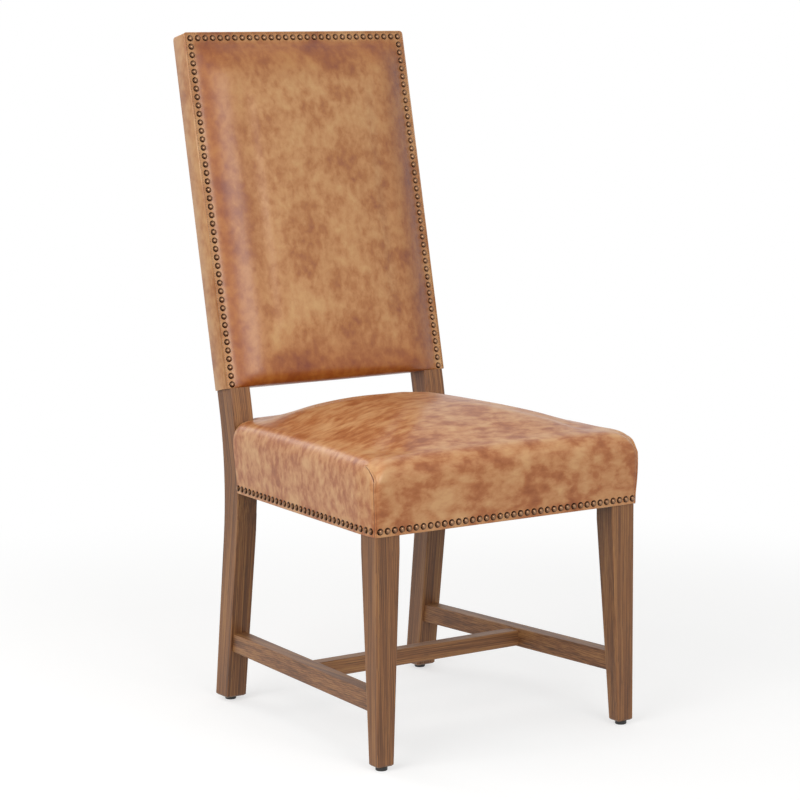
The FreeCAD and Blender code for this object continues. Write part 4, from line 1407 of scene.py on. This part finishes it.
@dataclass
class WoodenFrame:
    """The frame's rigid parts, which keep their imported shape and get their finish."""

    finishes: Finishes

    def dress(self) -> None:
        """Gives every rigid node its material."""
        pairs = ("left", "right")
        corners = [f"{end}_{side}" for end in ("front", "rear") for side in pairs]
        plan = {
            self.finishes.upright_wood: [f"front_leg_{side}" for side in pairs],
            self.finishes.bent_wood: [f"rear_leg_{side}" for side in pairs],
            self.finishes.deep_wood: [f"side_stretcher_{side}" for side in pairs],
            self.finishes.across_wood: ["cross_stretcher"],
            self.finishes.raw_wood: (
                [f"seat_rail_{side}" for side in (*pairs, "front", "rear")]
                + ["back_top_rail", "back_bottom_rail"] + [f"corner_block_{place}" for place in corners]
            ),
            self.finishes.steel: ["corner_block_screws", "glide_pins"],
            self.finishes.plastic: [f"glide_{place}" for place in corners],
            self.finishes.webbing: ["seat_webbing_lengthways", "seat_webbing_crossways", "back_webbing"],
            self.finishes.lining: ["dust_cover"],
        }
        for material, nodes in plan.items():
            for name in nodes:
                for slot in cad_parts[name].material_slots:
                    slot.material = material
                log.info("dressed %s in %s", name, material.name)


@dataclass(frozen=True)
class Lamp:
    """One soft box: its name, place, size and power."""

    name: str
    place: tuple[float, float, float]
    size: float
    power: float


@dataclass
class Studio:
    """Camera, soft boxes, grey surround and a pale floor that keeps the chair's shadow."""

    eye: tuple[float, float, float] = (-2.49468, -3.65969, 1.14525)
    heading: float = math.radians(34.43)
    pitch: float = math.radians(-7.94)
    roll: float = math.radians(-0.36)
    focal: float = 119.89
    sensor: float = 36.0
    aim: tuple[float, float, float] = (0.0, -0.05, 0.5)
    surround: float = 0.42
    floor_colour: str = "#BDBDBC"
    floor_glow: float = 0.57
    floor_half: float = 30.0
    floor_fade: tuple[float, float] = (0.9, 1.9)
    lamps: tuple[Lamp, ...] = (
        Lamp("key_soft_box", (-3.0, -0.9, 1.8), size=2.8, power=69.0),
        Lamp("front_soft_box", (-0.3, -3.4, 1.75), size=1.8, power=46.0),
        Lamp("rear_soft_box", (-0.7, 2.8, 2.4), size=1.6, power=18.0),
        Lamp("top_soft_box", (0.3, 0.2, 3.4), size=2.0, power=5.0),
    )

    def set_camera(self) -> None:
        """Puts the camera where the photograph was taken from."""
        across = Vector((math.cos(self.heading), -math.sin(self.heading), 0))
        ahead = Vector((
            math.sin(self.heading) * math.cos(self.pitch),
            math.cos(self.heading) * math.cos(self.pitch),
            math.sin(self.pitch),
        ))
        above = across.cross(ahead)
        right = across * math.cos(self.roll) + above * math.sin(self.roll)
        up = above * math.cos(self.roll) - across * math.sin(self.roll)
        data = bpy.data.cameras.new("photograph_view")
        data.lens = self.focal
        data.sensor_width = self.sensor
        camera = bpy.data.objects.new("photograph_view", data)
        turn = Matrix((right, up, -ahead)).transposed().to_4x4()
        camera.matrix_world = Matrix.Translation(self.eye) @ turn
        bpy.context.scene.collection.objects.link(camera)
        bpy.context.scene.camera = camera

    def set_lamps(self) -> None:
        """Hangs the soft boxes, each turned to the chair."""
        for lamp in self.lamps:
            data = bpy.data.lights.new(lamp.name, "AREA")
            data.size = lamp.size
            data.energy = lamp.power
            box = bpy.data.objects.new(lamp.name, data)
            place = Vector(lamp.place)
            turn = (Vector(self.aim) - place).to_track_quat("-Z", "Y").to_matrix().to_4x4()
            box.matrix_world = Matrix.Translation(place) @ turn
            bpy.context.scene.collection.objects.link(box)

    def seen_white(self, tree: NodeTree) -> NodeSocket:
        """Adds a switch that is 1 for what the camera sees, straight, mirrored or through glass.

        Args:
            tree: Node tree of the world or the floor.

        Returns:
            The switch's output.
        """
        path = add_node(tree, "LightPath").outputs
        seen = path["Is Camera Ray"]
        for other in ("Is Glossy Ray", "Is Transmission Ray"):
            seen = add_node(tree, "Math", {"operation": "MAXIMUM"}, {0: seen, 1: path[other]}).outputs[0]
        return seen

    def set_world(self) -> None:
        """Makes the surround: grey for light, white where it is seen."""
        world = bpy.data.worlds.new("studio_surround")
        world.use_nodes = True
        tree = world.node_tree
        tree.nodes.clear()
        strength = add_node(tree, "MapRange", inputs={
            "Value": self.seen_white(tree), "To Min": self.surround, "To Max": 1.0,
        })
        glow = add_node(tree, "Background", inputs={
            "Color": linear("#FFFFFF"), "Strength": strength.outputs["Result"],
        })
        add_node(tree, "OutputWorld", inputs={"Surface": glow.outputs["Background"]})
        bpy.context.scene.world = world

    def floor_finish(self) -> Material:
        """Makes the floor's material: matt near the chair, fading to plain white far from it.

        Returns:
            The floor's material.
        """
        material = bpy.data.materials.new("pale_studio_floor")
        material.use_nodes = True
        tree = material.node_tree
        tree.nodes.clear()
        near, far = self.floor_fade
        place = add_node(tree, "TexCoord")
        distance = add_node(tree, "VectorMath", {"operation": "LENGTH"}, {0: place.outputs["Object"]})
        away = add_node(tree, "MapRange", {"interpolation_type": "SMOOTHSTEP"}, {
            "Value": distance.outputs["Value"], "From Min": near, "From Max": far,
        })
        seen = self.seen_white(tree)
        matt = add_node(tree, "BsdfDiffuse", inputs={"Color": linear(self.floor_colour)})
        level = add_node(tree, "Math", {"operation": "MULTIPLY"}, {0: seen, 1: self.floor_glow})
        glow = add_node(tree, "Emission", inputs={"Strength": level.outputs[0]})
        lit = add_node(tree, "AddShader", inputs={0: matt.outputs["BSDF"], 1: glow.outputs["Emission"]})
        white = add_node(tree, "Emission", inputs={"Strength": seen})
        mixed = add_node(tree, "MixShader", inputs={
            0: away.outputs["Result"], 1: lit.outputs["Shader"], 2: white.outputs["Emission"],
        })
        add_node(tree, "OutputMaterial", inputs={"Surface": mixed.outputs["Shader"]})
        return material

    def set_floor(self) -> None:
        """Lays the floor."""
        mesh = bmesh.new()
        bmesh.ops.create_grid(mesh, x_segments=2, y_segments=2, size=self.floor_half)
        data = bpy.data.meshes.new("studio_floor")
        mesh.to_mesh(data)
        mesh.free()
        data.materials.append(self.floor_finish())
        floor = bpy.data.objects.new("studio_floor", data)
        bpy.context.scene.collection.objects.link(floor)

    def build(self) -> None:
        """Sets the camera, the light and the floor."""
        self.set_camera()
        self.set_lamps()
        self.set_world()
        self.set_floor()
        bpy.context.scene.view_settings.view_transform = "Standard"


def main() -> None:
    """Builds the studio and every sub-assembly in order."""
    logging.basicConfig(level=logging.INFO, format="%(message)s")
    Studio().build()
    finishes = Finishes.make()
    WoodenFrame(finishes).dress()
    seat = SeatCushion(finishes)
    axes = LeanedBack()
    cushion = seat.build()
    nails = NailRows(finishes, axes, seat)
    made = [cushion, BackPanel(finishes, axes).build()]
    made += BackBands(finishes, axes).build()
    made += Seams(finishes, axes, seat, cushion).build()
    made += nails.seat_rows() + nails.back_rows()
    for piece in made:
        log.info("built %s, %d faces", piece.name, len(piece.data.polygons))


if __name__ == "__main__":
    main()
